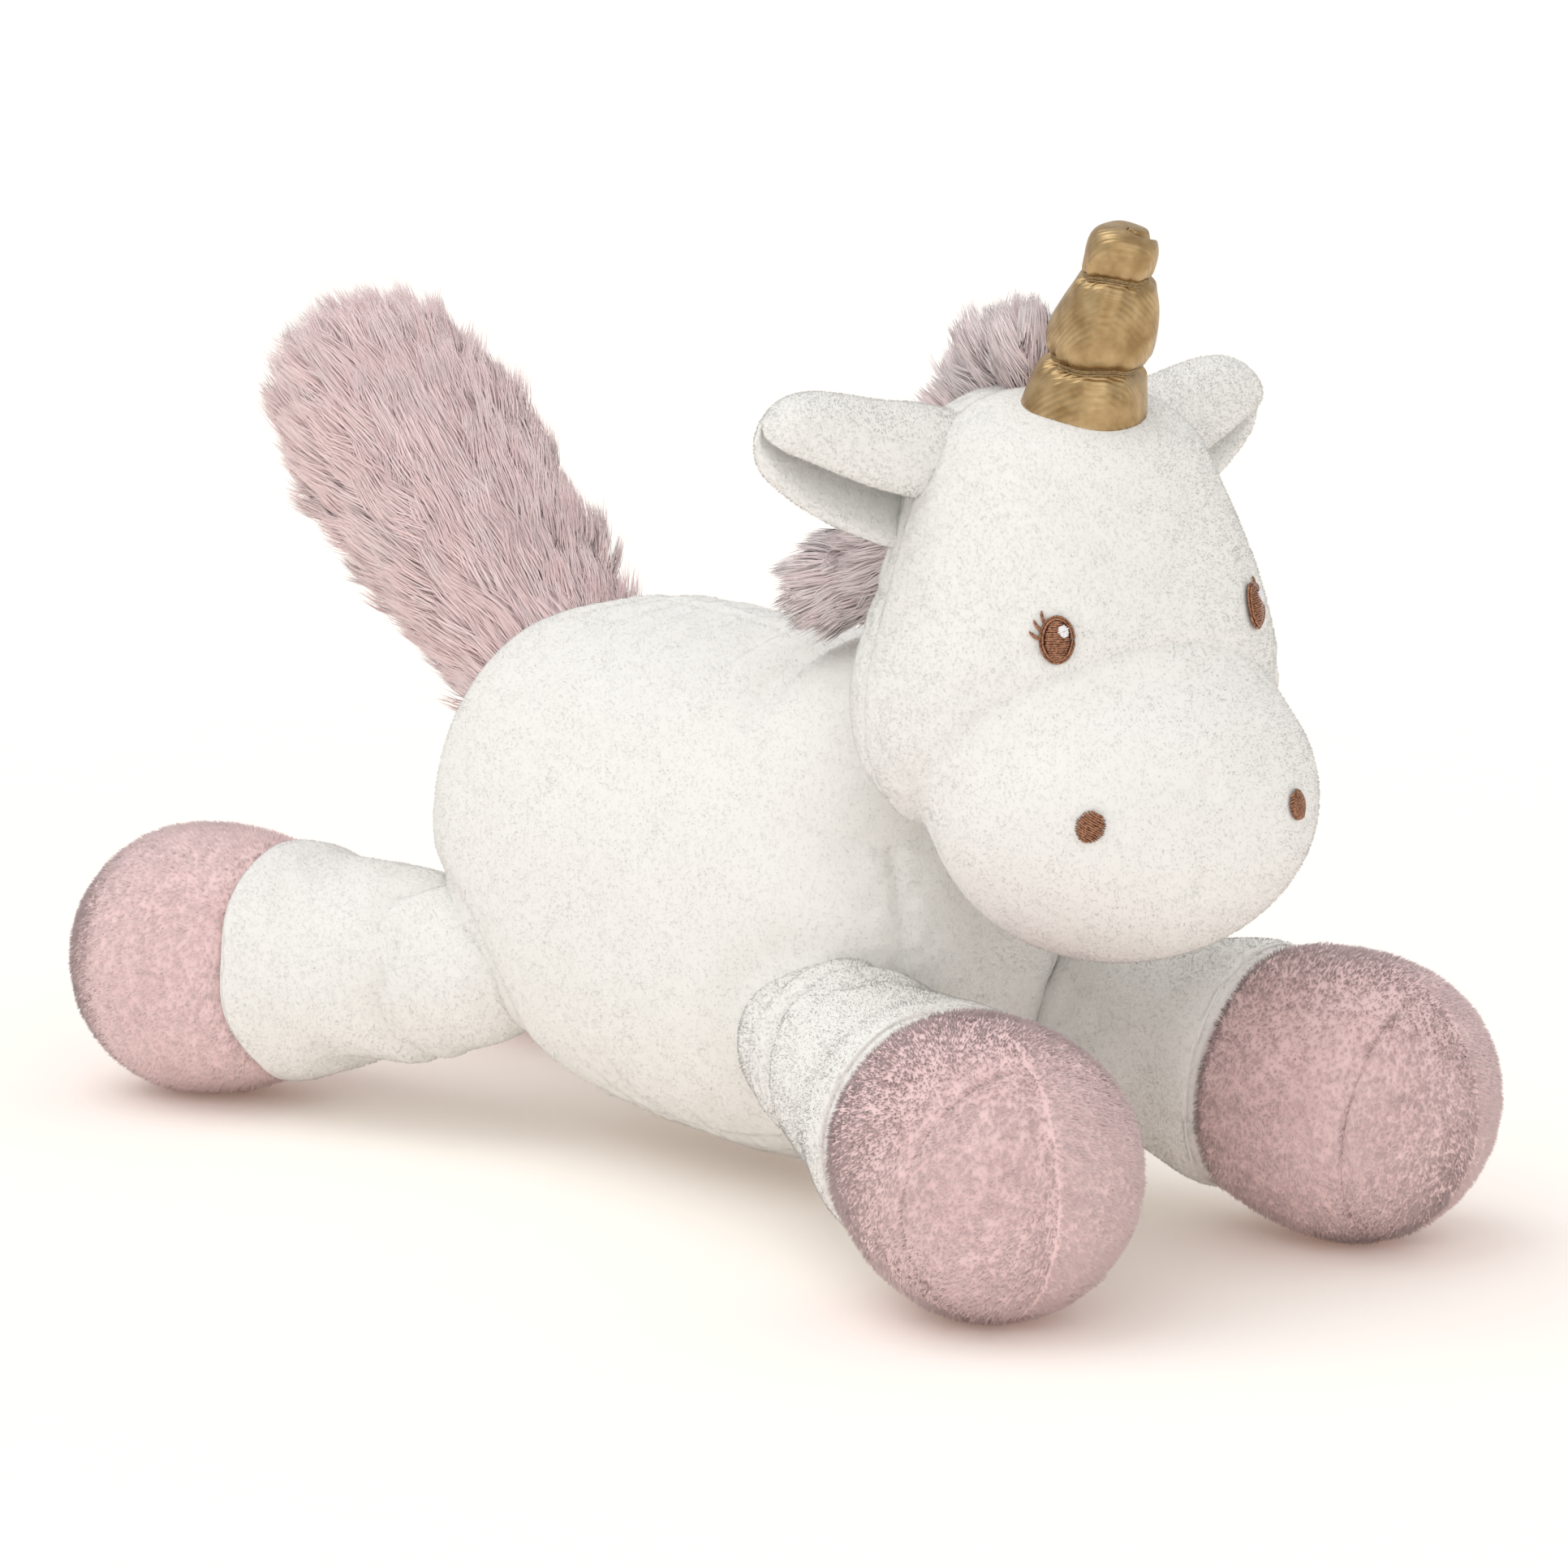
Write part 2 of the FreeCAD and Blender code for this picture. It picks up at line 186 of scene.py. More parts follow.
def joined_solid(name, parts, voxel, rounding):
    """One skin round several overlapping closed solids, remeshed and smoothed."""
    piece = tube_object(name, parts)
    remesh = piece.modifiers.new("skin", "REMESH")
    remesh.mode = "VOXEL"
    remesh.voxel_size = voxel * MM
    smooth = piece.modifiers.new("round", "SMOOTH")
    smooth.factor = 0.5
    smooth.iterations = rounding
    settle(piece)
    return piece


def settle(piece):
    """Applies every modifier of a piece to its mesh."""
    evaluated = piece.evaluated_get(bpy.context.evaluated_depsgraph_get())
    mesh = bpy.data.meshes.new_from_object(evaluated)
    piece.modifiers.clear()
    old = piece.data
    piece.data = mesh
    bpy.data.meshes.remove(old)
    mesh.shade_smooth()


def subdivided(piece):
    """A smoother, finer mesh."""
    piece.modifiers.new("finer", "SUBSURF").levels = 1
    settle(piece)


def wobble(points, size, seed):
    """Smooth random numbers from -1 to 1 that vary over about the given size in millimetres."""
    rng = np.random.default_rng(seed)
    total = np.zeros(len(points))
    for _ in range(6):
        direction = unit(rng.normal(size=3))
        waves = points @ direction * (2 * math.pi / size) * rng.uniform(0.7, 1.4)
        total += np.sin(waves + rng.uniform(0, 6.28))
    return total / 2.6


def spun(points, angle):
    """Points turned about the upright line through the middle of the neck."""
    c, s = math.cos(angle), math.sin(angle)
    spin = np.array([[c, -s, 0], [s, c, 0], [0, 0, 1]])
    return (np.asarray(points, float) - NECK) @ spin.T + NECK


def turned(points):
    """Points of the head, worked out facing straight ahead, at their rest place."""
    return spun(points, HEAD_TURN)


def turned_way(ways):
    """Directions on the head, worked out facing straight ahead, as they are at rest."""
    return turned(np.asarray(ways, float) + NECK) - NECK


def straight(points):
    """Undoes turned()."""
    return spun(points, -HEAD_TURN)


def press_seams(piece, distances, depth=0.55, width=1.0, pucker=0.25):
    """Sinks a piece along its seams and gathers the cloth a little on both sides.

    distances holds, for each seam, the distance of every point from it in millimetres."""
    mesh = piece.data
    points = mesh_points(mesh)
    normals = mesh_normals(mesh)
    move = np.zeros(len(points))
    for number, distance in enumerate(distances):
        groove = np.exp(-(distance / width) ** 2)
        beside = np.exp(-((distance - 2.0 * width) / (1.6 * width)) ** 2)
        gather = wobble(points, 3.4, 100 + number)
        move -= depth * groove
        move += pucker * beside * gather * 0.6 + 0.25 * depth * beside
    set_points(mesh, points + normals * move[:, None])


def puffed(piece, held, cap, growth=0.03, frames=20):
    """Blows a skin up against its seams with a cloth simulation, and keeps the result.

    held is 1 where the skin is sewn down, cap the furthest that a point may move, in millimetres.
    The cloth is simulated at ten times its size, where the solver is steadier."""
    scale = 10.0
    scene = bpy.context.scene
    work = piece.copy()
    work.data = piece.data.copy()
    scene.collection.objects.link(work)
    start = mesh_points(work.data)
    set_points(work.data, start * scale)
    group = work.vertex_groups.new(name="held")
    for index in np.nonzero(held > 0.05)[0]:
        group.add([int(index)], float(held[index]), "REPLACE")
    cloth = work.modifiers.new("cloth", "CLOTH")
    cloth.settings.quality = 4
    cloth.settings.mass = 0.3
    cloth.settings.tension_stiffness = 12
    cloth.settings.compression_stiffness = 12
    cloth.settings.bending_stiffness = 0.4
    cloth.settings.shrink_min = -growth
    cloth.settings.use_pressure = True
    cloth.settings.uniform_pressure_force = 4
    cloth.settings.vertex_group_mass = "held"
    cloth.settings.effector_weights.gravity = 0
    cloth.collision_settings.use_collision = False
    cloth.point_cache.frame_start = 1
    cloth.point_cache.frame_end = frames
    for number in range(1, frames + 1):
        scene.frame_set(number)
    evaluated = work.evaluated_get(bpy.context.evaluated_depsgraph_get())
    result = bpy.data.meshes.new_from_object(evaluated)
    move = mesh_points(result) / scale - start
    length = np.linalg.norm(move, axis=1, keepdims=True)
    move *= np.minimum(1, cap / np.maximum(length, 1e-6))
    bpy.data.objects.remove(work)
    bpy.data.meshes.remove(result)
    scene.frame_set(1)
    set_points(piece.data, start + move)


def panels(piece, names, choose):
    """Cuts a skin into its sewn panels: choose gives each face's panel number from its middle."""
    mesh = piece.data
    points = mesh_points(mesh)
    triangles = mesh_triangles(mesh)
    number = choose(points[triangles].mean(1))
    made = []
    for index, name in enumerate(names):
        own = triangles[number == index]
        used, compact = np.unique(own, return_inverse=True)
        made.append(new_object(name, points[used], compact.reshape(-1, 3), list(mesh.materials)))
    return made


def drop(piece):
    """Removes a helper piece."""
    bpy.data.objects.remove(piece)


# ---------------------------------------------------------------- pile

class Surface:
    """Random points on a mesh, with their normals."""

    def __init__(self, piece, count, keep=None):
        points = mesh_points(piece.data)
        normals = mesh_normals(piece.data)
        triangles = mesh_triangles(piece.data)
        if keep is not None:
            triangles = triangles[keep(points[triangles].mean(1))]
        a, b, c = (points[triangles[:, k]] for k in range(3))
        area = np.linalg.norm(np.cross(b - a, c - a), axis=1)
        chosen = RNG.choice(len(triangles), count, p=area / area.sum())
        u, v = RNG.random(count), RNG.random(count)
        over = u + v > 1
        u[over], v[over] = 1 - u[over], 1 - v[over]
        w = 1 - u - v
        rows = triangles[chosen]
        weights = np.stack([w, u, v], 1)[:, :, None]
        self.points = (points[rows] * weights).sum(1)
        self.normals = unit((normals[rows] * weights).sum(1))


def fibres(name, lines, width, materials, slots, skin, soft=0.92, taper=1.0):
    """Closed three-sided fibres along lines: an array of fibres, points along each, 3.

    skin holds the direction of the cloth under each fibre, and soft is how far the fibre is shaded like
    that cloth instead of like its own sides."""
    count, steps, _ = lines.shape
    along = np.empty_like(lines)
    along[:, :-1] = lines[:, 1:] - lines[:, :-1]
    along[:, -1] = along[:, -2]
    along = unit(along)
    helper = np.where(np.abs(along[:, :1, 2:]) < 0.9, [[[0.0, 0.0, 1.0]]], [[[1.0, 0.0, 0.0]]])
    side = unit(np.cross(along, helper))
    other = np.cross(along, side)
    share = np.linspace(0, 1, steps)[:-1]
    thick = width / 2 * (1 - share * 0.75) ** taper
    per = 3 * (steps - 1) + 1
    points = np.empty((count, per, 3))
    for k in range(3):
        angle = 2 * math.pi * k / 3
        offset = math.cos(angle) * side[:, :-1] + math.sin(angle) * other[:, :-1]
        points[:, k:per - 1:3] = lines[:, :-1] + offset * thick[None, :, None]
    points[:, -1] = lines[:, -1]
    pattern = [(0, 2, 1)]
    for step in range(steps - 2):
        for k in range(3):
            a, b = 3 * step + k, 3 * step + (k + 1) % 3
            pattern += [(a, b, b + 3), (a, b + 3, a + 3)]
    last = 3 * (steps - 2)
    pattern += [(last + k, last + (k + 1) % 3, per - 1) for k in range(3)]
    pattern = np.array(pattern)
    faces = (pattern[None] + (np.arange(count) * per)[:, None, None]).reshape(-1, 3)
    made = new_object(name, points.reshape(-1, 3), faces, materials, np.repeat(slots, len(pattern)))
    shading = unit(mesh_normals(made.data) * (1 - soft) + np.repeat(skin, per, axis=0) * soft)
    made.data.normals_split_custom_set_from_vertices(shading.tolist())
    return made


def laid_flat(ways, normals):
    """Directions with their part along the normals taken out."""
    return ways - normals * (ways * normals).sum(1, keepdims=True)


def combed(surface, groom, lean):
    """Fibre directions: the normal leant over along the groom direction, with some scatter."""
    flat = laid_flat(groom, surface.normals)
    flat = unit(flat + RNG.normal(size=flat.shape) * 0.25)
    flat = unit(laid_flat(flat, surface.normals))
    return unit(surface.normals * np.cos(lean)[:, None] + flat * np.sin(lean)[:, None])


def short_pile(name, piece, count, groom, length, width, materials, lean, swirl, steps, keep):
    """Short brushed pile on a skin: groom gives its direction at points, lean its tilt in radians."""
    surface = Surface(piece, count, keep)
    tilt = lean + 0.08 * wobble(surface.points, 9.0, 5) + RNG.normal(size=count) * 0.16
    eddies = np.stack([wobble(surface.points, 13.0, seed) for seed in (6, 7, 8)], 1)
    direction = combed(surface, unit(groom(surface.points)) + swirl * eddies, tilt)
    size = length * (0.75 + 0.35 * RNG.random(count)) * (1 + 0.08 * wobble(surface.points, 6.0, 9))
    root = surface.points - surface.normals * 0.15
    if steps == 2:
        lines = np.stack([root, root + direction * size[:, None]], 1)
    else:
        share = np.linspace(0, 1, steps)[None, :, None]
        upright = unit(direction + surface.normals * 0.7)
        lines = root[:, None] + size[:, None, None] * (
            upright[:, None] * share * (1 - 0.5 * share) + direction[:, None] * 0.5 * share ** 2)
    slots = RNG.integers(0, len(materials), count)
    return fibres(name, lines, width, materials, slots, surface.normals)


def white_pile(name, piece, count, groom, keep=None):
    """The fine white pile of the body, head, legs and ears."""
    return short_pile(name, piece, count, groom, 0.48, 0.15, WHITE_PILE, 0.5, 0.3, 2, keep)


def pink_pile(name, piece, count, groom, keep):
    """The longer brushed pile of the hooves."""
    return short_pile(name, piece, count, groom, 1.2, 0.20, PINK_PILE, 0.85, 0.2, 3, keep)


# ---------------------------------------------------------------- materials

def blank(name):
    """A new node material: the material, its nodes, its links and its shader."""
    material = bpy.data.materials.new(name)
    material.use_nodes = True
    nodes, links = material.node_tree.nodes, material.node_tree.links
    return material, nodes, links, nodes["Principled BSDF"]


def in_millimetres(nodes, links):
    """Object coordinates scaled so that one unit is a millimetre."""
    place = nodes.new("ShaderNodeTexCoord")
    mapping = nodes.new("ShaderNodeMapping")
    mapping.inputs["Scale"].default_value = (1000, 1000, 1000)
    links.new(place.outputs["Object"], mapping.inputs["Vector"])
    return mapping.outputs["Vector"]


def noise(nodes, links, where, scale, detail=3.0):
    """A noise texture's value, its scale in cycles per millimetre."""
    texture = nodes.new("ShaderNodeTexNoise")
    texture.inputs["Scale"].default_value = scale
    texture.inputs["Detail"].default_value = detail
    links.new(where, texture.inputs["Vector"])
    return texture.outputs["Fac"]


def two_colours(nodes, links, factor, low, high):
    """A colour between two colours."""
    ramp = nodes.new("ShaderNodeValToRGB")
    ramp.color_ramp.elements[0].position = 0.3
    ramp.color_ramp.elements[0].color = (*low, 1)
    ramp.color_ramp.elements[1].position = 0.7
    ramp.color_ramp.elements[1].color = (*high, 1)
    links.new(factor, ramp.inputs["Fac"])
    return ramp.outputs["Color"]


def bumped(nodes, links, shader, height, strength, distance):
    """A bump of the given depth in metres."""
    bump = nodes.new("ShaderNodeBump")
    bump.inputs["Strength"].default_value = strength
    bump.inputs["Distance"].default_value = distance
    links.new(height, bump.inputs["Height"])
    links.new(bump.outputs["Normal"], shader.inputs["Normal"])


def plush_backing(name, low, high):
    """The knitted ground of a plush with its dense short pile."""
    material, nodes, links, shader = blank(name)
    where = in_millimetres(nodes, links)
    colour = two_colours(nodes, links, noise(nodes, links, where, 0.12), low, high)
    links.new(colour, shader.inputs["Base Color"])
    shader.inputs["Roughness"].default_value = 1.0
    shader.inputs["Specular IOR Level"].default_value = 0.1
    shader.inputs["Sheen Weight"].default_value = 0.15
    shader.inputs["Sheen Roughness"].default_value = 0.6
    bumped(nodes, links, shader, noise(nodes, links, where, 2.5), 0.4, 0.00012)
    return material


def fibre_tint(name, colour):
    """One tint of a pile's fibres."""
    material, _, _, shader = blank(name)
    shader.inputs["Base Color"].default_value = (*colour, 1)
    shader.inputs["Roughness"].default_value = 0.8
    shader.inputs["Specular IOR Level"].default_value = 0.1
    shader.inputs["Sheen Weight"].default_value = 0.1
    return material


def tints(name, colour, spread, count=3):
    """Several tints of a pile, darker to lighter."""
    made = []
    for number in range(count):
        shade = 1 + spread * (2 * number / (count - 1) - 1)
        made.append(fibre_tint(f"{name}_{number}", tuple(min(c * shade, 0.96) for c in colour)))
    return made


def satin(name):
    """Woven gold satin: a fine twill with a soft sheen along the threads."""
    material, nodes, links, shader = blank(name)
    where = in_millimetres(nodes, links)
    wave = nodes.new("ShaderNodeTexWave")
    wave.wave_type = "BANDS"
    wave.bands_direction = "DIAGONAL"
    wave.inputs["Scale"].default_value = 0.55
    wave.inputs["Distortion"].default_value = 0.6
    wave.inputs["Detail"].default_value = 1.0
    links.new(where, wave.inputs["Vector"])
    patches = noise(nodes, links, where, 0.35)
    colour = two_colours(nodes, links, patches, (0.30, 0.19, 0.08), (0.52, 0.37, 0.19))
    links.new(colour, shader.inputs["Base Color"])
    shader.inputs["Metallic"].default_value = 0.85
    shader.inputs["Roughness"].default_value = 0.30
    shader.inputs["Anisotropic"].default_value = 0.4
    bumped(nodes, links, shader, wave.outputs["Fac"], 0.5, 0.0001)
    return material


def thread_film(name, low, high, metal, rough):
    """Thread with a twisted film round it, more or less metallic."""
    material, nodes, links, shader = blank(name)
    where = in_millimetres(nodes, links)
    colour = two_colours(nodes, links, noise(nodes, links, where, 3.0), low, high)
    links.new(colour, shader.inputs["Base Color"])
    shader.inputs["Metallic"].default_value = metal
    shader.inputs["Roughness"].default_value = rough
    bumped(nodes, links, shader, noise(nodes, links, where, 6.0), 0.5, 0.00008)
    return material


WHITE = (0.85, 0.84, 0.81)
PINK = (0.92, 0.70, 0.695)
BLUSH = (0.99, 0.755, 0.75)
# The mane's hair is a paler copy of the tail's blush. This is painted light: it stands in for bright light
# from behind on the mane, which sits in the head's shade.
BLUSH_PAINTED_BACKLIGHT = (0.99, 0.83, 0.83)
WHITE_SKIN = plush_backing("white_plush_ground", (0.84, 0.83, 0.795), (0.86, 0.85, 0.82))
PINK_SKIN = plush_backing("pink_plush_ground", (0.85, 0.61, 0.605), (0.90, 0.67, 0.665))
BLUSH_SKIN = plush_backing("blush_pile_ground", (0.97, 0.69, 0.69), (0.99, 0.75, 0.75))
WHITE_PILE = tints("white_pile", WHITE, 0.015)
PINK_PILE = tints("pink_pile", PINK, 0.07, 4)
BLUSH_PILE = tints("blush_pile", BLUSH, 0.05, 4)
MANE_PILE_PAINTED_BACKLIGHT = tints("mane_pile_painted_backlight", BLUSH_PAINTED_BACKLIGHT, 0.05, 4)
SATIN = satin("gold_satin")
GOLD_THREAD = thread_film("gold_thread", (0.22, 0.14, 0.06), (0.42, 0.29, 0.14), 0.3, 0.5)
COPPER_THREAD = thread_film("copper_thread", (0.13, 0.05, 0.025), (0.50, 0.26, 0.16), 0.85, 0.25)
LIGHT_THREAD = thread_film("white_thread", (0.75, 0.72, 0.74), (0.92, 0.90, 0.92), 0.1, 0.4)


# ---------------------------------------------------------------- torso

TORSO_HALF = np.array([32.3, 51.5, 36.7])
TORSO_MIDDLE = np.array([0.0, -0.8, 42.4])
GUSSET_HALF = 15.0                   # half the width of the belly gusset
GUSSET_REAR = 34.0                   # how far back it reaches
BELLY_TOP = TORSO_MIDDLE[2] - 14     # its height under the belly
CHEST_TOP = TORSO_MIDDLE[2] + 12     # and up the chest, in front of CHEST_REAR
CHEST_REAR = -34.0


def torso_rings():
    """The body of the toy, fuller at the rump than at the chest."""
    rings = []
    for t in np.linspace(-1, 1, 61):
        u = math.sin(t * math.pi / 2)
        power = 3.0 if u > 0 else 2.5
        size = max(1 - abs(u) ** power, 0.0001) ** (1 / power)
        y = u * TORSO_HALF[1]
        middle = TORSO_MIDDLE + np.array([0, y, 0.045 * y - 1.2 * (1 - u * u)])
        rings.append(ring(middle, (0, 1, 0), TORSO_HALF[0] * size, TORSO_HALF[2] * size, (0, 0, 1), 2.15))
    return np.array(rings)


def egg(middle, wide, deep, tall):
    """A closed egg of rings, stacked upwards."""
    rings = []
    for angle in np.radians(np.linspace(-86, 86, 31)):
        place = np.asarray(middle, float) + np.array([0, 0, tall * math.sin(angle)])
        size = math.cos(angle)
        rings.append(ring(place, (0, 0, 1), wide * size, deep * size, (0, 1, 0)))
    return np.array(rings)


def beside_gusset(points):
    """True where the gusset or a side panel beside it may lie."""
    _, y, z = points.T
    return ((z < BELLY_TOP) & (y < GUSSET_REAR)) | ((y < CHEST_REAR) & (z < CHEST_TOP))


def torso_seams(points):
    """Distances from the spine seam and the two gusset seams."""
    across = np.abs(points[:, 0])
    spine = np.where(points[:, 2] > TORSO_MIDDLE[2], across, FAR)
    gusset = np.where(beside_gusset(points), np.abs(across - GUSSET_HALF), FAR)
    return [spine, gusset]


def leg_dimples(points, normals):
    """The torso's skin is drawn in a little round each leg's root."""
    move = np.zeros(len(points))
    for side, place in LEGS:
        root = leg_root(side, place)
        away = np.linalg.norm(points - root, axis=1)
        move -= 1.5 * np.exp(-((away - 14.0) / 3.0) ** 2)
    return points + normals * move[:, None]


def torso_groom(points):
    """The pile lies from the head to the tail and down the sides."""
    flow = np.zeros_like(points)
    flow[:, 1] = 1.0
    flow[:, 2] = -0.55
    return flow


def build_torso():
    """The torso with its neck and shoulders: two sides and a belly gusset, stuffed."""
    neck = egg((0, -31, 57), 24.5, 19, 23.5)
    shoulders = egg((0, -14, 45), 30.5, 22, 34)
    skin = joined_solid("torso_skin", [torso_rings(), neck, shoulders], 1.5, 14)
    points = mesh_points(skin.data)
    set_points(skin.data, leg_dimples(points, mesh_normals(skin.data)))
    seams = torso_seams(mesh_points(skin.data))
    held = np.exp(-(np.min(seams, axis=0) / 1.6) ** 2)
    puffed(skin, held, 1.2)
    subdivided(skin)
    press_seams(skin, torso_seams(mesh_points(skin.data)))
    skin.data.materials.append(WHITE_SKIN)

    def choose(middle):
        gusset = (np.abs(middle[:, 0]) < GUSSET_HALF) & beside_gusset(middle)
        return np.where(gusset, 2, np.where(middle[:, 0] > 0, 0, 1))

    names = ["torso_left", "torso_right", "torso_belly"]
    nodes = ["torso_left_panel", "torso_right_panel", "torso_belly_gusset"]
    made = panels(skin, [name + "_plush" for name in names], choose)
    for name, node, piece, count in zip(names, nodes, made, (45000, 45000, 26000)):
        pile = white_pile(name + "_pile", piece, count, torso_groom)
        for each in (piece, pile):
            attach(each, "torso")
        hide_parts(node)
    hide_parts("torso_stuffing")
    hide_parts("neck_stuffing")
    drop(skin)


# ---------------------------------------------------------------- legs

HOOF_SEAM = -15.0                    # places along a leg, from the middle of its hoof outwards
CAP_SEAM = 9.0
HOOF_END = 19.8
HOOF_RADIUS = 20.0
SEAM_RADIUS = 17.0
ROOT_RADIUS = 13.4
HOOF_HEIGHT = 20.0
HOOF_PILE = 0.5                      # how far the pile stands out round a hoof
HOOF_PLACES = {"front": (33.0, -87.5), "hind": (35.0, 84.5)}


def leg_root(side, place):
    """The middle of a leg's sewn root."""
    kind = "sweep" if place == "front" else "lift"
    return np.array(JOINTS[f"{side}_{place}_leg_{kind}"]["pos_m"]) / MM


def hoof_middle(side, place):
    """The middle of a hoof, straight above where it rests."""
    x, y = HOOF_PLACES[place]
    return np.array([x if side == "left" else -x, y, HOOF_HEIGHT])


def turned_body(middle, along, outline):
    """Rings round a leg's line for an outline of (place along it, radius)."""
    rings = []
    for place, radius in outline:
        size = max(radius, 0.05)
        rings.append(ring(middle + along * place, along, size, size, (0, 0, 1), 2.0, 96))
    return np.array(rings)


def leg_outline(length):
    """Outline of the white sleeve, from inside the torso to inside the hoof."""
    rows = [(-length - 9, 8.0), (-length - 5, 10.6), (-length, ROOT_RADIUS - 1.4),
            (-length + 12, ROOT_RADIUS + 0.2), (-length + 24, ROOT_RADIUS + 1.7),
            (HOOF_SEAM - 5, SEAM_RADIUS - 0.35), (HOOF_SEAM - 1.2, SEAM_RADIUS - 0.2),
            (HOOF_SEAM, SEAM_RADIUS - 0.9), (HOOF_SEAM + 1.0, SEAM_RADIUS - 3.0)]
    return smooth_rows(rows, 64)


def hoof_radius(place):
    """Radius of the hoof at a place along its leg."""
    if place < 0:
        share = place / HOOF_SEAM
        return SEAM_RADIUS + (HOOF_RADIUS - SEAM_RADIUS) * math.cos(share * math.pi / 2) ** 0.8
    return HOOF_RADIUS * math.sqrt(max(1 - (place / HOOF_END) ** 2.15, 0.0))


def hoof_outline(low, high):
    """Outline of a sewn part of the hoof, its open edges turned in at the seams."""
    rows = []
    for place in np.linspace(low, high, 40):
        edge = 0.8 * math.exp(-((place - HOOF_SEAM) / 0.9) ** 2)
        edge += 0.2 * math.exp(-((place - CAP_SEAM) / 0.6) ** 2)
        rows.append((place, hoof_radius(place) - edge - HOOF_PILE))
    rows.insert(0, (low + 0.3, rows[0][1] - 3.0))
    if high < HOOF_END - 1:
        rows.append((high - 0.3, rows[-1][1] - 3.0))
    return rows


def leg_groom(along):
    """Pile on a leg lies towards the hoof and a little down."""
    return lambda points: np.broadcast_to(np.asarray(along) + np.array([0, 0, -0.35]), points.shape)


def hoof_groom(middle, along):
    """Pile on a hoof lies away from its seam, then outwards from a parting down its end."""
    def flow(points):
        out = points - middle
        across = unit(np.cross(along, [0, 0, 1.0]))
        reach = out @ along
        parting = out @ across
        spread = across * np.sign(parting)[:, None] * np.clip(reach / 12, 0, 1)[:, None]
        return np.asarray(along) * np.clip(1.1 - reach / 14, 0, 1)[:, None] + spread + np.array([0, 0, -0.6])
    return flow


def roughened(piece, size, amount, seed):
    """Gives a skin soft, uneven lumps."""
    points = mesh_points(piece.data)
    lumps = wobble(points, size, seed) * amount
    set_points(piece.data, points + mesh_normals(piece.data) * lumps[:, None])


def fold_sleeve(sleeve, root, along, seed):
    """Soft lumps on a sleeve, and one slanting fold near its root."""
    roughened(sleeve, 17.0, 0.45, seed)
    points = mesh_points(sleeve.data)
    reach = (points - root) @ along
    fold = np.exp(-((reach - 7.5 + 2.5 * wobble(points, 21.0, seed + 3)) / 1.7) ** 2)
    set_points(sleeve.data, points - mesh_normals(sleeve.data) * (0.9 * fold)[:, None])
    return reach


def build_leg(side, place, seed):
    """One stuffed leg: a white sleeve, and a hoof sewn from a band and a cap."""
    name = f"{side}_{place}_leg"
    root, middle = leg_root(side, place), hoof_middle(side, place)
    along = unit(middle - root)
    length = np.linalg.norm(middle - root)

    def part(suffix, outline, material):
        return tube_object(name + suffix, [turned_body(middle, along, outline)], [material])

    sleeve = part("_plush", leg_outline(length), WHITE_SKIN)
    reach = fold_sleeve(sleeve, root, along, seed)
    puffed(sleeve, np.where((reach < 4) | (reach > length + HOOF_SEAM - 1.5), 1.0, 0.0), 0.8)
    band = part("_hoof_band_plush", hoof_outline(HOOF_SEAM, CAP_SEAM), PINK_SKIN)
    cap = part("_hoof_cap_plush", hoof_outline(CAP_SEAM, HOOF_END), PINK_SKIN)

    def outside(points):
        return (points - middle) @ along < HOOF_SEAM + 0.4

    pile = white_pile(name + "_pile", sleeve, 32000, leg_groom(along), outside)

    def shown(points):
        out = points - middle
        reach = out @ along
        away = np.linalg.norm(out - reach[:, None] * along, axis=1)
        return away > np.array([hoof_radius(r) for r in reach]) - 1.6

    flow = hoof_groom(middle, along)
    band_pile = pink_pile(name + "_hoof_band_pile", band, 18000, flow, shown)
    cap_pile = pink_pile(name + "_hoof_cap_pile", cap, 12000, flow, shown)
    for piece in (sleeve, pile):
        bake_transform(piece)
    for piece in (band, cap, band_pile, cap_pile):
        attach(piece, name)
    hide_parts(name + "_sleeve", name + "_stuffing")
    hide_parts(name + "_hoof_band")
    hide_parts(name + "_hoof_cap")
    flatten_on_floor([band, cap, band_pile, cap_pile])


def flatten_on_floor(pieces_on_floor):
    """Soft pieces press flat where they meet the floor."""
    for piece in pieces_on_floor:
        points = mesh_points(piece.data)
        low = points[:, 2] < 0.25
        points[low, 2] = 0.05 + 0.2 * np.exp(np.minimum(points[low, 2] - 0.25, 0))
        set_points(piece.data, points)


# ---------------------------------------------------------------- head

MUZZLE = np.array([0.8, -82.5, 65.6])
FACE_SEAM_Y = -62.0
CREASE = (np.array([-1.0, -104.5, 72.0]), np.array([-1.5, -104.0, 57.0]))


def skull_rings():
    """The head behind the muzzle, narrow at the crown and full at the cheeks.

    Each row is a height, a place forwards, and half a width and half a depth there."""
    rows = [(119.0, -65.0, 2, 2), (117.3, -66.0, 10.5, 11.5), (113.0, -67.5, 16.8, 17.5),
            (105, -68.3, 20.8, 20.0), (93, -70.0, 25.2, 22.5), (80, -69.5, 28.3, 26),
            (71, -70.0, 28.0, 25.5), (64, -70.0, 24.0, 22.5), (58.5, -70, 16.0, 16), (56.0, -70, 4, 4)]
    rings = []
    for z, y, wide, deep in smooth_rows(rows, 64):
        rings.append(ring((0, y, z), (0, 0, 1), max(wide, 0.4), max(deep, 0.4), (0, 1, 0), 2.1))
    return np.array(rings)


def muzzle_field(points):
    """Distance from the seam round the muzzle, below zero inside it."""
    x, y, z = points.T
    reach = np.sqrt((x / 32) ** 2 + ((y + 92) / 34) ** 2 + ((z - 62) / 26) ** 2)
    return (reach - 1) * 28


def line_distance(points, start, end):
    """Distance from a straight stitch line."""
    run = end - start
    share = np.clip((points - start) @ run / (run @ run), 0, 1)
    return np.linalg.norm(points - start - share[:, None] * run, axis=1)


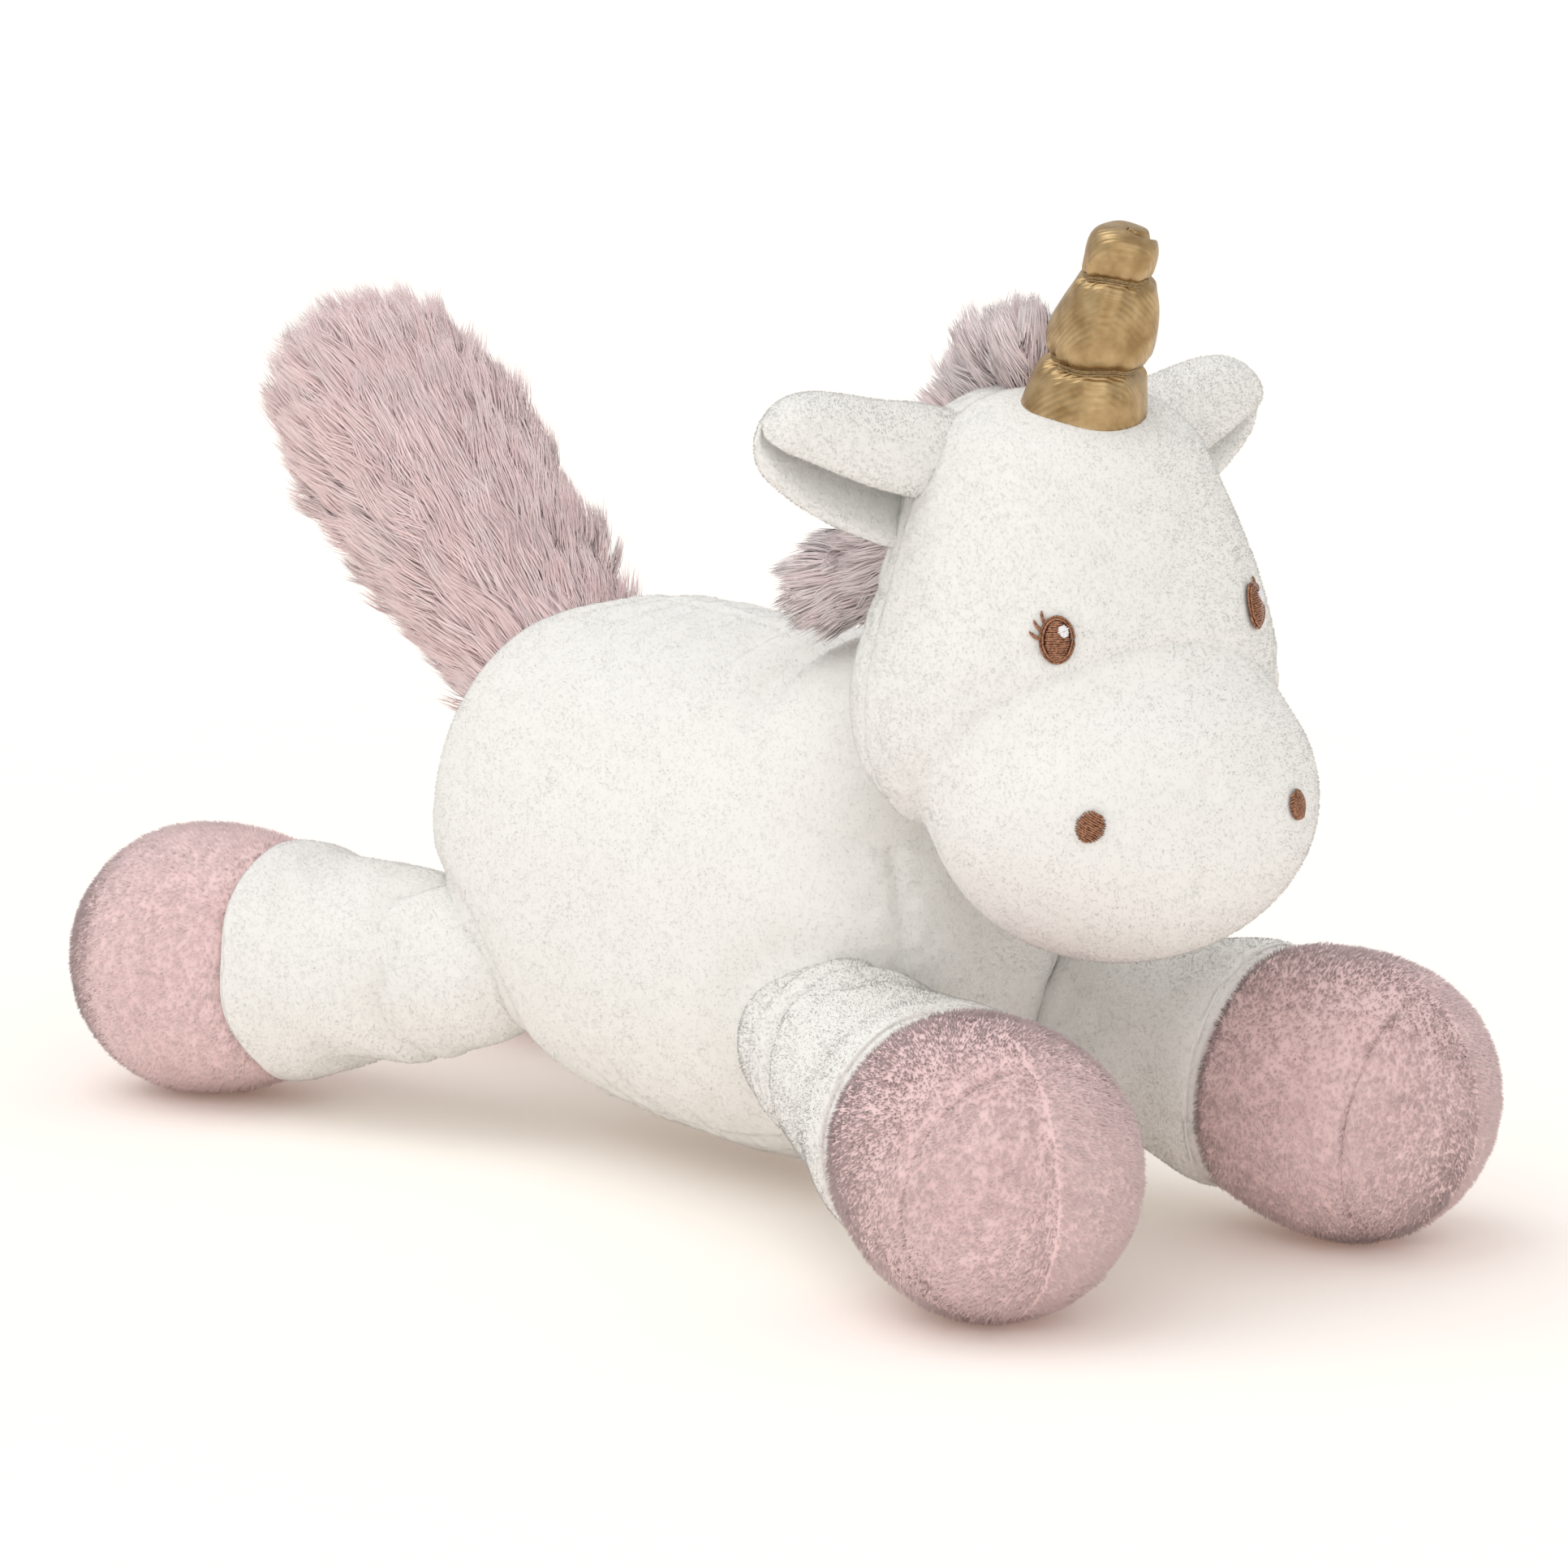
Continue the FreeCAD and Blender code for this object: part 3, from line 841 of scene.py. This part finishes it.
def head_seams(points):
    """Distances from the seams of the head, worked out facing straight ahead."""
    x, y, _ = points.T
    muzzle = np.abs(muzzle_field(points))
    behind = np.where(muzzle_field(points) > 0, np.abs(y - FACE_SEAM_Y), FAR)
    back = np.where(y > FACE_SEAM_Y, np.abs(x), FAR)
    return [muzzle, behind, back]


def head_groom(points):
    """Pile on the face lies down and backwards from the nose."""
    flow = points - np.array([0, -100, 84.0])
    flow[:, 2] -= 14
    flow[:, 1] += 10
    return unit(flow)


def hit(tree, start, way):
    """Where a ray meets a skin, with the skin's normal there."""
    place, normal, _, _ = tree.ray_cast(Vector(np.asarray(start, float) * MM), Vector(way))
    if place is None:
        return None
    return np.array(place) / MM, np.array(normal)


def on_face(tree, across, height):
    """The place on the face in front of a point of the straight head, with the skin's normal there."""
    return hit(tree, turned([across, -140, height]), turned_way([0, 1, 0]))


def choose_head_panel(middle):
    """Number of the head panel that each face belongs to: face, muzzle, back left, back right."""
    local = straight(middle)
    behind = np.where(local[:, 0] > 0, 2, 3)
    return np.where(muzzle_field(local) < 0, 1, np.where(local[:, 1] > FACE_SEAM_Y, behind, 0))


def build_head():
    """The stuffed head: four panels, and the embroidery on its face."""
    muzzle = egg(MUZZLE, 26.3, 23, 21.0)
    cheeks = egg((0, -74, 72.0), 28.0, 20, 12.5)
    skin = joined_solid("head_skin", [skull_rings(), muzzle, cheeks], 1.15, 20)
    held = np.exp(-(np.min(head_seams(mesh_points(skin.data)), axis=0) / 1.5) ** 2)
    puffed(skin, held, 1.0)
    subdivided(skin)
    points = mesh_points(skin.data)
    press_seams(skin, head_seams(points), depth=0.40, width=0.9, pucker=0.15)
    points = mesh_points(skin.data)
    crease = np.exp(-(line_distance(points, *CREASE) / 1.3) ** 2)
    set_points(skin.data, points - mesh_normals(skin.data) * (1.0 * crease)[:, None])
    set_points(skin.data, turned(mesh_points(skin.data)))
    skin.data.materials.append(WHITE_SKIN)

    names = ["head_face", "head_muzzle", "head_back_left", "head_back_right"]
    made = panels(skin, [name + "_plush" for name in names], choose_head_panel)
    tree = BVHTree.FromPolygons([Vector(p) for p in mesh_points(skin.data) * MM],
                                mesh_triangles(skin.data).tolist())
    clear = face_details(tree)

    def keep(points):
        away = [np.linalg.norm(points - middle, axis=1) - radius for middle, radius in clear]
        return np.min(away, axis=0) > 0

    def groom(points):
        return turned_way(head_groom(straight(points)))

    for name, piece, count in zip(names, made, (34000, 26000, 22000, 22000)):
        pile = white_pile(name + "_pile", piece, count, groom, keep)
        for each in (piece, pile):
            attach(each, "head")
        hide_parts(name + "_panel")
    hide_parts("head_stuffing")
    drop(skin)


# ---------------------------------------------------------------- face

EYES = {1: (16.8, 91.0), -1: (-15.2, 89.6)}          # sideways and upwards, on the straight head
NOSTRILS = {1: (14.2, 66.8), -1: (-16.6, 66.6)}


def disc_frame(normal):
    """Sideways and upward directions in the plane of a disc."""
    side = unit(np.cross([0, 0, 1.0], normal))
    return side, np.cross(normal, side)


def thread_path(tree, middle, normal, side, top, flat_points, lift):
    """Points on the skin under a flat path drawn on a disc, lifted above it."""
    path = []
    for u, v, high in flat_points:
        start = middle + side * u + top * v + normal * 4
        found = hit(tree, start, -normal)
        place = found[0] if found is not None else middle + side * u + top * v
        path.append(place + normal * (lift + high))
    return np.array(path)


def thread_tubes(name, paths, radius, material):
    """Round threads along paths, joined into one piece."""
    angle = np.linspace(0, 2 * math.pi, 6, endpoint=False)
    c, s = np.cos(angle)[None, :, None], np.sin(angle)[None, :, None]
    tubes = []
    for path in paths:
        run = unit(np.gradient(path, axis=0))
        side = unit(np.cross(run, [0.31, 0.17, 0.93]))
        top = np.cross(side, run)
        size = np.full(len(path), radius)
        size[0] = size[-1] = radius * 0.4
        tubes.append(path[:, None] + size[:, None, None] * (c * side[:, None] + s * top[:, None]))
    return tube_object(name, tubes, [material])


def satin_stitches(tree, middle, normal, wide, tall, step, lift, dome, slant, rng):
    """Close side-by-side stitches that fill an oval, slightly domed."""
    side, top = disc_frame(normal)
    c, s = math.cos(slant), math.sin(slant)
    along, across = side * c + top * s, top * c - side * s
    paths = []
    reach = np.arange(-tall / 2 + step / 2, tall / 2, step)
    for v in reach:
        half = wide / 2 * math.sqrt(max(1 - (v / (tall / 2)) ** 2, 0.02)) + rng.normal() * 0.05
        rows = []
        for t in np.linspace(-1, 1, 7):
            high = dome * (1 - t * t * 0.9) * (1 - (v / (tall / 2)) ** 2 * 0.6)
            high -= 0.35 * lift if abs(t) == 1 else 0
            rows.append((half * t, v + rng.normal() * 0.03, high))
        paths.append(thread_path(tree, middle, normal, along, across, rows, lift))
    return paths


def side_name(sign):
    """The toy's left for plus, its right for minus."""
    return "left" if sign > 0 else "right"


def rim_paths(tree, middle, normal, wide, tall):
    """Two rounds of thread along the edge of an eye."""
    side, top = disc_frame(normal)
    paths = []
    for grow in (0.0, 0.32):
        rim = []
        for angle in np.linspace(0, 2 * math.pi, 41):
            across, up = (wide / 2 - grow) * math.cos(angle), (tall / 2 - grow) * math.sin(angle)
            rim.append((across, up, 0.25 + grow * 0.6))
        paths.append(thread_path(tree, middle, normal, side, top, rim, 0.30))
    return paths


def lash_paths(tree, middle, normal, wide, tall, outer):
    """Three short lashes of two threads each, fanned from the outer edge of an eye."""
    side, top = disc_frame(normal)
    paths = []
    for number, angle in enumerate((4, 24, 46)):
        bend = math.radians(angle)
        for slip in (-0.14, 0.14):
            lash = []
            for t in np.linspace(0, 1, 8):
                reach = 0.92 + (0.72 - 0.06 * number) * t
                spot = bend + 0.16 * t * t + slip * (1 - t) / 3
                across, up = wide / 2 * reach * math.cos(spot), tall / 2 * reach * math.sin(spot)
                lash.append((outer * across, up, 0.2 * (1 - t)))
            paths.append(thread_path(tree, middle, normal, side, top, lash, 0.28))
    return paths


def build_eye(tree, sign):
    """An embroidered eye: a filled oval, a rim, short lashes outwards and a white glint."""
    middle, normal = on_face(tree, *EYES[sign])
    normal = unit(normal + 0.4 * unit(turned_way([sign * 0.42, -0.9, 0.18])))
    rng = np.random.default_rng(31 + sign)
    side, top = disc_frame(normal)
    toy_left = 1.0 if np.dot(side, turned_way([1.0, 0, 0])) > 0 else -1.0
    wide, tall = 4.5, 6.1
    paths = satin_stitches(tree, middle, normal, wide - 0.4, tall - 0.3, 0.30, 0.35, 0.75, 0.0, rng)
    paths += rim_paths(tree, middle, normal, wide, tall)
    paths += lash_paths(tree, middle, normal, wide, tall, sign * toy_left)
    eye = thread_tubes(f"{side_name(sign)}_eye_stitches", paths, 0.19, COPPER_THREAD)
    glint_middle = middle + side * toy_left * wide * 0.17 + top * tall * 0.19
    glints = satin_stitches(tree, glint_middle, normal, 1.5, 1.6, 0.26, 1.15, 0.25, 0.4, rng)
    glint = thread_tubes(f"{side_name(sign)}_eye_glint", glints, 0.16, LIGHT_THREAD)
    for piece, node, name in ((eye, "eye_embroidery", "copper_thread"),
                              (glint, "eye_highlight", "white_thread")):
        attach(piece, "head")
        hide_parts(f"{side_name(sign)}_{node}")
    return middle, wide * 0.60


def build_nostril(tree, sign):
    """An embroidered nostril: a small round patch of close stitches."""
    middle, normal = on_face(tree, *NOSTRILS[sign])
    rng = np.random.default_rng(41 + sign)
    paths = satin_stitches(tree, middle, normal, 3.9, 4.3, 0.30, 0.35, 0.55, 0.5 * sign, rng)
    nostril = thread_tubes(f"{side_name(sign)}_nostril_stitches", paths, 0.19, COPPER_THREAD)
    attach(nostril, "head")
    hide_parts(f"{side_name(sign)}_nostril_embroidery")
    return middle, 2.2


def face_details(tree):
    """All the embroidery, and the round places that the pile leaves clear."""
    clear = []
    for sign in (1, -1):
        clear.append(build_eye(tree, sign))
        clear.append(build_nostril(tree, sign))
    return clear


# ---------------------------------------------------------------- ears

# Middle line of the left ear with half its height there, and its section, forwards and upwards.
EAR_LINE = smooth_rows(((13.0, -59.3, 105.5, 8.8), (19.0, -58.4, 106.9, 8.9), (24.5, -57.6, 108.4, 8.2),
                        (28.5, -57.0, 109.9, 7.6), (32.6, -56.4, 111.6, 6.7), (36.0, -55.9, 112.9, 5.4),
                        (38.4, -55.5, 113.9, 3.7), (39.7, -55.3, 114.5, 1.3)), 40)
EAR_FOLD = smooth_rows(((0.50, -0.16), (0.68, 0.16), (0.66, 0.56), (0.38, 0.88), (-0.05, 1.0),
                        (-0.42, 0.82), (-0.50, 0.38), (-0.38, -0.08), (-0.16, -0.48), (0.10, -0.80),
                        (0.32, -1.0)), 41)
EAR_RUN = unit(np.gradient(EAR_FOLD, axis=0))
EAR_CLOTH = 3.0                      # thickness of an ear's two layers together


def ear_rings(sign):
    """Closed sections of an ear: soft cloth folded forwards round a hollow, upper lip over lower lip."""
    out = np.stack([EAR_RUN[:, 1], -EAR_RUN[:, 0]], 1)
    lip = np.sqrt(np.clip(1 - np.linspace(-1, 1, len(EAR_FOLD)) ** 8, 0.02, 1))[:, None]
    rings = []
    for ahead, (x, y, z, half) in zip(unit(run_along(EAR_LINE)), EAR_LINE):
        front = np.array([0.10, -0.98, -0.12])
        front = unit(front - ahead * (front @ ahead))
        up = np.cross(ahead, front)
        up = up if up[2] > 0 else -up
        cloth = min(EAR_CLOTH, half * 0.62) / half
        half_cloth = out * cloth * 0.5 * lip
        loop = np.concatenate([EAR_FOLD + half_cloth, (EAR_FOLD - half_cloth)[::-1]])
        rings.append(np.array([x, y, z]) + half * (loop[:, :1] * front + loop[:, 1:] * up))
    points = np.array(rings)
    points[:, :, 0] *= sign
    return points


def ear_inside(points, sign):
    """True where a point on an ear lies on its lining, towards the hollow."""
    local = straight(points) * np.array([sign, 1, 1])
    nearest = EAR_LINE[np.argmin(np.abs(local[:, None, 0] - EAR_LINE[None, :, 0]), axis=1)]
    forward = -(local[:, 1] - nearest[:, 1]) / nearest[:, 3]
    upward = (local[:, 2] - nearest[:, 2]) / nearest[:, 3]
    gap = (forward[:, None] - EAR_FOLD[None, :, 0]) ** 2 + (upward[:, None] - EAR_FOLD[None, :, 1]) ** 2
    own = np.argmin(gap, axis=1)
    return (forward - EAR_FOLD[own, 0]) * EAR_RUN[own, 1] > (upward - EAR_FOLD[own, 1]) * EAR_RUN[own, 0]


def build_ear(side):
    """One ear: an outer layer and a lining, padded and folded forwards."""
    sign = 1.0 if side == "left" else -1.0
    body = f"{side}_ear"
    skin = joined_solid(f"{body}_skin", [ear_rings(sign)], 0.5, 7)
    set_points(skin.data, turned(mesh_points(skin.data)))
    skin.data.materials.append(WHITE_SKIN)
    outward = 1 if ear_inside(turned([[sign * 28.5, -57.0, 118.2]]), sign)[0] else 0
    made = panels(skin, [f"{body}_outer_plush", f"{body}_lining_plush"],
                  lambda middle: np.where(ear_inside(middle, sign) == bool(outward), 0, 1))
    tip = turned([[42.0 * sign, -55, 112]])[0]
    for piece, node, count in zip(made, ("outer", "lining"), (15000, 9000)):
        pile = white_pile(f"{body}_{node}_pile", piece, count, lambda points: tip - points)
        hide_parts(f"{body}_{node}")
        for each in (piece, pile):
            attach(each, body)
    drop(skin)


# ---------------------------------------------------------------- horn

HORN_BASE = np.array([-1.7, -72.5, 108.0])
HORN_TIP = np.array([0.4, -82.8, 142.0])
HORN_LENGTH = float(np.linalg.norm(HORN_TIP - HORN_BASE))
HORN_AXIS = unit(HORN_TIP - HORN_BASE)
HORN_SIDE = unit(np.cross(HORN_AXIS, [0, 1.0, 0]))
HORN_FRONT = np.cross(HORN_AXIS, HORN_SIDE)
WAISTS = (0.467, 0.814)              # shares of its length, like the first number of each row below
THREAD_TURNS = 3
HORN_ROWS = ((-0.06, 7.8), (0.0, 8.3), (0.12, 8.7), (0.25, 8.45), (0.36, 7.85), (0.43, 6.95),
             (0.467, 5.7), (0.505, 6.85), (0.56, 7.2), (0.63, 6.9), (0.70, 6.3), (0.765, 5.45),
             (0.79, 4.95), (0.814, 4.0), (0.838, 4.6), (0.88, 4.85), (0.925, 4.8), (0.965, 4.35),
             (0.99, 3.4), (1.003, 1.8), (1.006, 0.1))
HORN_CURVE = smooth_rows(HORN_ROWS, 400)


def horn_radius(share):
    """Radius of the satin along the horn: puffs drawn in by wound thread."""
    return float(np.interp(share, HORN_CURVE[:, 0], HORN_CURVE[:, 1]))


def waist_slant(share, angle):
    """How far along the horn a wound thread strays at an angle round it, as a share of its length."""
    return 0.016 * math.cos(angle - 2.2) + 0.008 * math.cos(3 * angle + 5 * share)


def horn_point(share, angle, out=0.0):
    """A point on the satin, gathered into small folds near each waist."""
    slipped = share - waist_slant(share, angle) * min(1.0, max(0.0, 1.02 - share) * 8)
    radius = horn_radius(slipped)
    near = sum(math.exp(-((slipped - waist) / 0.055) ** 2) for waist in WAISTS)
    folds = math.sin(9 * angle + 2.0 * math.sin(3 * angle)) + 0.6 * math.sin(16 * angle + 1)
    lump = 0.22 * math.sin(3 * angle + 9 * share) + 0.12 * math.sin(5 * angle - 14 * share)
    radius += (0.26 * folds * near + lump) * min(radius / 6, 1)
    place = HORN_BASE + HORN_AXIS * (HORN_LENGTH * share - knot_fold(share, angle))
    return place + (math.cos(angle) * HORN_SIDE + math.sin(angle) * HORN_FRONT) * (radius + out)


def knot_fold(share, angle):
    """Depth of the tucked-in spiral fold on the horn's flat top, in millimetres."""
    if share < 0.93:
        return 0.0
    reach = horn_radius(share) / 4.8
    turn = angle - 2.6 * reach
    groove = math.exp(-(math.sin((turn - 0.9) / 2) / 0.16) ** 2)
    return 1.5 * groove * math.sin(min(reach, 1) * math.pi * 0.9)


def horn_shares():
    """Places of the sections along the horn, closer together on its folded top."""
    runs = ((-0.06, 0.96, 130), (0.965, 1.0, 12), (1.0015, 1.006, 14))
    return np.concatenate([np.linspace(*run) for run in runs])


def build_horn():
    """The stuffed satin horn and the thread wound round its two waists."""
    angles = np.linspace(2 * math.pi, 0, 144, endpoint=False)
    rings = np.array([[horn_point(share, angle) for angle in angles] for share in horn_shares()])
    sleeve = tube_object("horn_satin", [turned(rings)], [SATIN])
    paths = []
    for waist, pitch in zip(WAISTS, (0.007, 0.006)):
        path = []
        for angle in np.linspace(0, 2 * math.pi * THREAD_TURNS, 60 * THREAD_TURNS):
            share = waist + pitch * (angle / (2 * math.pi) - THREAD_TURNS / 2) + waist_slant(waist, angle)
            path.append(horn_point(share, angle, 0.10 + 0.05 * math.sin(angle * 1.7)))
        paths.append(turned(np.array(path)))
    thread = thread_tubes("horn_wound_thread", paths, 0.15, GOLD_THREAD)
    for piece, nodes, name in ((sleeve, ("horn_satin_sleeve", "horn_stuffing"), "gold_satin"),
                               (thread, ("horn_wrap_threads",), "gold_thread")):
        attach(piece, "head")
        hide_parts(*nodes)


# ---------------------------------------------------------------- mane and tail

def locks(name, piece, length, way, materials, droop):
    """Long pile: strands rise from the skin, bend over along a direction and draw together in soft locks."""
    count, lock_count, steps, gather = 8200, 260, 5, 0.4
    surface = Surface(piece, count)
    heads = RNG.choice(count, lock_count, replace=False)
    gap = np.linalg.norm(surface.points[:, None, :] - surface.points[None, heads, :], axis=2)
    own = np.argmin(gap, axis=1)
    sway = RNG.normal(size=(lock_count, 3)) * 0.16
    reach = RNG.uniform(0.82, 1.12, lock_count)
    direction = unit(way(surface.points, surface.normals) + sway[own] + RNG.normal(size=(count, 3)) * 0.07)
    size = length * reach[own] * RNG.uniform(0.72, 1.05, count)
    tip = surface.points + direction * size[:, None]
    tip[:, 2] -= droop * size
    middle = np.zeros((lock_count, 3))
    np.add.at(middle, own, tip)
    middle /= np.bincount(own, minlength=lock_count)[:, None]
    tip = tip * (1 - gather) + middle[own] * gather
    root = surface.points - surface.normals * 0.4
    knee = root + unit(surface.normals + 0.35 * direction) * (size * 0.42)[:, None]
    share = np.linspace(0, 1, steps)[None, :, None]
    lines = root[:, None] * (1 - share) ** 2 + 2 * knee[:, None] * share * (1 - share)
    lines += tip[:, None] * share ** 2
    tint = (own + RNG.integers(0, 2, count)) % len(materials)
    return fibres(name, lines, 0.26, materials, tint, surface.normals, 0.8, 0.8)


# Middle lines of the mane, down the nape of the straight head, and of the tail: places and radii.
MANE_LINE = smooth_rows(((-1.5, -65.0, 118.0, 2.5), (-1.2, -61.0, 121.0, 3.6), (-1.0, -54.5, 119.5, 4.2),
                         (-0.5, -47.5, 110.5, 4.0), (-2.5, -41.5, 100.5, 4.8), (-6.0, -35.5, 92.5, 5.0),
                         (-9.5, -31.5, 89.0, 4.4), (-12.5, -29.0, 88.0, 3.2), (-13.8, -28.0, 87.8, 1.2)), 40)
TAIL_LINE = smooth_rows(((0, 41.0, 58.0, 8.0), (0, 46.5, 65.0, 10.0), (0, 54.5, 72.5, 11.5),
                         (0, 63.5, 80.0, 12.6), (0, 72.5, 87.5, 13.3), (0, 80.5, 93.5, 13.2),
                         (0, 87.0, 98.5, 12.0), (0, 92.0, 102.3, 9.2), (0, 95.0, 104.8, 5.0),
                         (0, 96.0, 105.6, 1.0)), 44)
TAIL_LEAN = unit(np.array([0.0, 58.0, 52.0]))


def rings_along(line, narrow, up, around):
    """Rings round a line of rows (x, y, z, radius), made narrower sideways."""
    rings = []
    for along, (x, y, z, radius) in zip(run_along(line), line):
        rings.append(ring((x, y, z), along, max(radius * narrow, 0.3), max(radius, 0.3), up, 2.0, around))
    return np.array(rings)


def mane_way(points, normals):
    """Mane hair stands up and back at the crown and falls to the toy's right lower down."""
    share = np.clip((118 - points[:, 2]) / 28, 0, 1)[:, None]
    crown = np.array([[-0.1, 0.25, 1.0]])
    nape = np.array([[-0.95, 0.35, -0.20]])
    return unit(normals * 0.50 + crown * (1 - share) * 0.8 + nape * share * 1.1)


def build_mane():
    """The mane: a long-pile strip down the back of the head, sewn from two halves."""
    rings = rings_along(MANE_LINE, 0.9, (0, 0.3, 1), 36)
    core = tube_object("mane_ground", [turned(rings)], [BLUSH_SKIN])
    roughened(core, 9.0, 0.5, 71)

    def choose(middle):
        return np.where(straight(middle)[:, 0] > -0.02 * (118 - middle[:, 2]), 0, 1)

    made = panels(core, ["mane_left_plush", "mane_right_plush"], choose)
    for piece, side in zip(made, ("left", "right")):
        # The mane's hair tints are painted paler than the tail's, as painted backlight.
        hair = locks(f"mane_{side}_hair", piece, 6.5, mane_way, MANE_PILE_PAINTED_BACKLIGHT, 0.05)
        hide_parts(f"mane_{side}_panel")
        for each in (piece, hair):
            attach(each, "head")
    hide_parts("mane_stuffing")
    drop(core)


def tail_way(points, normals):
    """Tail hair leans towards the tip and stands out from the sides."""
    share = np.clip((points[:, 1] - 44) / 50, 0, 1)[:, None]
    return unit(normals * (0.55 - 0.10 * share) + TAIL_LEAN * (0.85 + 0.15 * share))


def build_tail():
    """The stuffed tail: two long-pile halves, each with two sheets of hair."""
    core = tube_object("tail_ground", [rings_along(TAIL_LINE, 1.0, (0, 0, 1), 72)], [BLUSH_SKIN])
    roughened(core, 13.0, 0.7, 81)
    names = ["tail_left_plush", "tail_right_plush"]
    made = panels(core, names, lambda middle: np.where(middle[:, 0] > 0, 0, 1))
    for piece, side in zip(made, ("left", "right")):
        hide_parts(f"tail_{side}_panel")
        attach(piece, "tail")
        for part in range(2):
            hair = locks(f"tail_{side}_hair_{part}", piece, 9.5, tail_way, BLUSH_PILE, 0.03)
            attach(hair, "tail")
    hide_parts("tail_stuffing")
    drop(core)


# ---------------------------------------------------------------- stage

def build_floor():
    """A large plain pale floor that glows a little, like a photographer's light table."""
    half = 6000.0
    floor = new_object("floor", [(-half, -half, 0), (half, -half, 0), (half, half, 0), (-half, half, 0)],
                       [(0, 1, 2, 3)], smooth=False)
    material, _, _, shader = blank("floor_card")
    shader.inputs["Base Color"].default_value = (0.95, 0.93, 0.90, 1)
    shader.inputs["Emission Color"].default_value = (1.0, 0.72, 0.55, 1)
    shader.inputs["Emission Strength"].default_value = 0.11
    shader.inputs["Roughness"].default_value = 0.9
    shader.inputs["Specular IOR Level"].default_value = 0.1
    floor.data.materials.append(material)


def soft_sun(name, energy, spread, way):
    """One far, very soft light shining from a direction."""
    light = bpy.data.lights.new(name, "SUN")
    light.energy = energy
    light.angle = math.radians(spread)
    lamp = bpy.data.objects.new(name, light)
    bpy.context.scene.collection.objects.link(lamp)
    lamp.rotation_euler = Vector(way).to_track_quat("Z", "Y").to_euler()


def build_lights():
    """Light from all round, a soft main light high behind the toy's right, and a fill light in front."""
    world = bpy.data.worlds.new("studio")
    bpy.context.scene.world = world
    world.use_nodes = True
    world.node_tree.nodes["Background"].inputs["Color"].default_value = (1.0, 0.995, 0.985, 1)
    world.node_tree.nodes["Background"].inputs["Strength"].default_value = 0.80
    soft_sun("key", 0.72, 50, (-0.32, 0.27, 0.906))
    soft_sun("fill", 0.45, 60, (-0.60, -0.70, 0.38))


def build_camera():
    """The toy seen from a little above its right shoulder, from far away."""
    data = bpy.data.cameras.new("camera")
    camera = bpy.data.objects.new("camera", data)
    bpy.context.scene.collection.objects.link(camera)
    data.sensor_width = 36.0
    data.lens = 186.34
    data.clip_start, data.clip_end = 0.1, 50
    data.dof.use_dof = False
    camera.location = np.array([-721.06, -865.12, 277.0]) * MM
    camera.rotation_euler = (math.radians(90 - 11.183), 0, math.radians(-40))
    bpy.context.scene.camera = camera


build_floor()
build_lights()
build_camera()
build_torso()
for number, (side, place) in enumerate(LEGS):
    build_leg(side, place, 50 + number)
build_head()
for side in ("left", "right"):
    build_ear(side)
build_horn()
build_mane()
build_tail()

bpy.context.scene.view_settings.view_transform = "Standard"
bpy.context.scene.view_settings.look = "None"
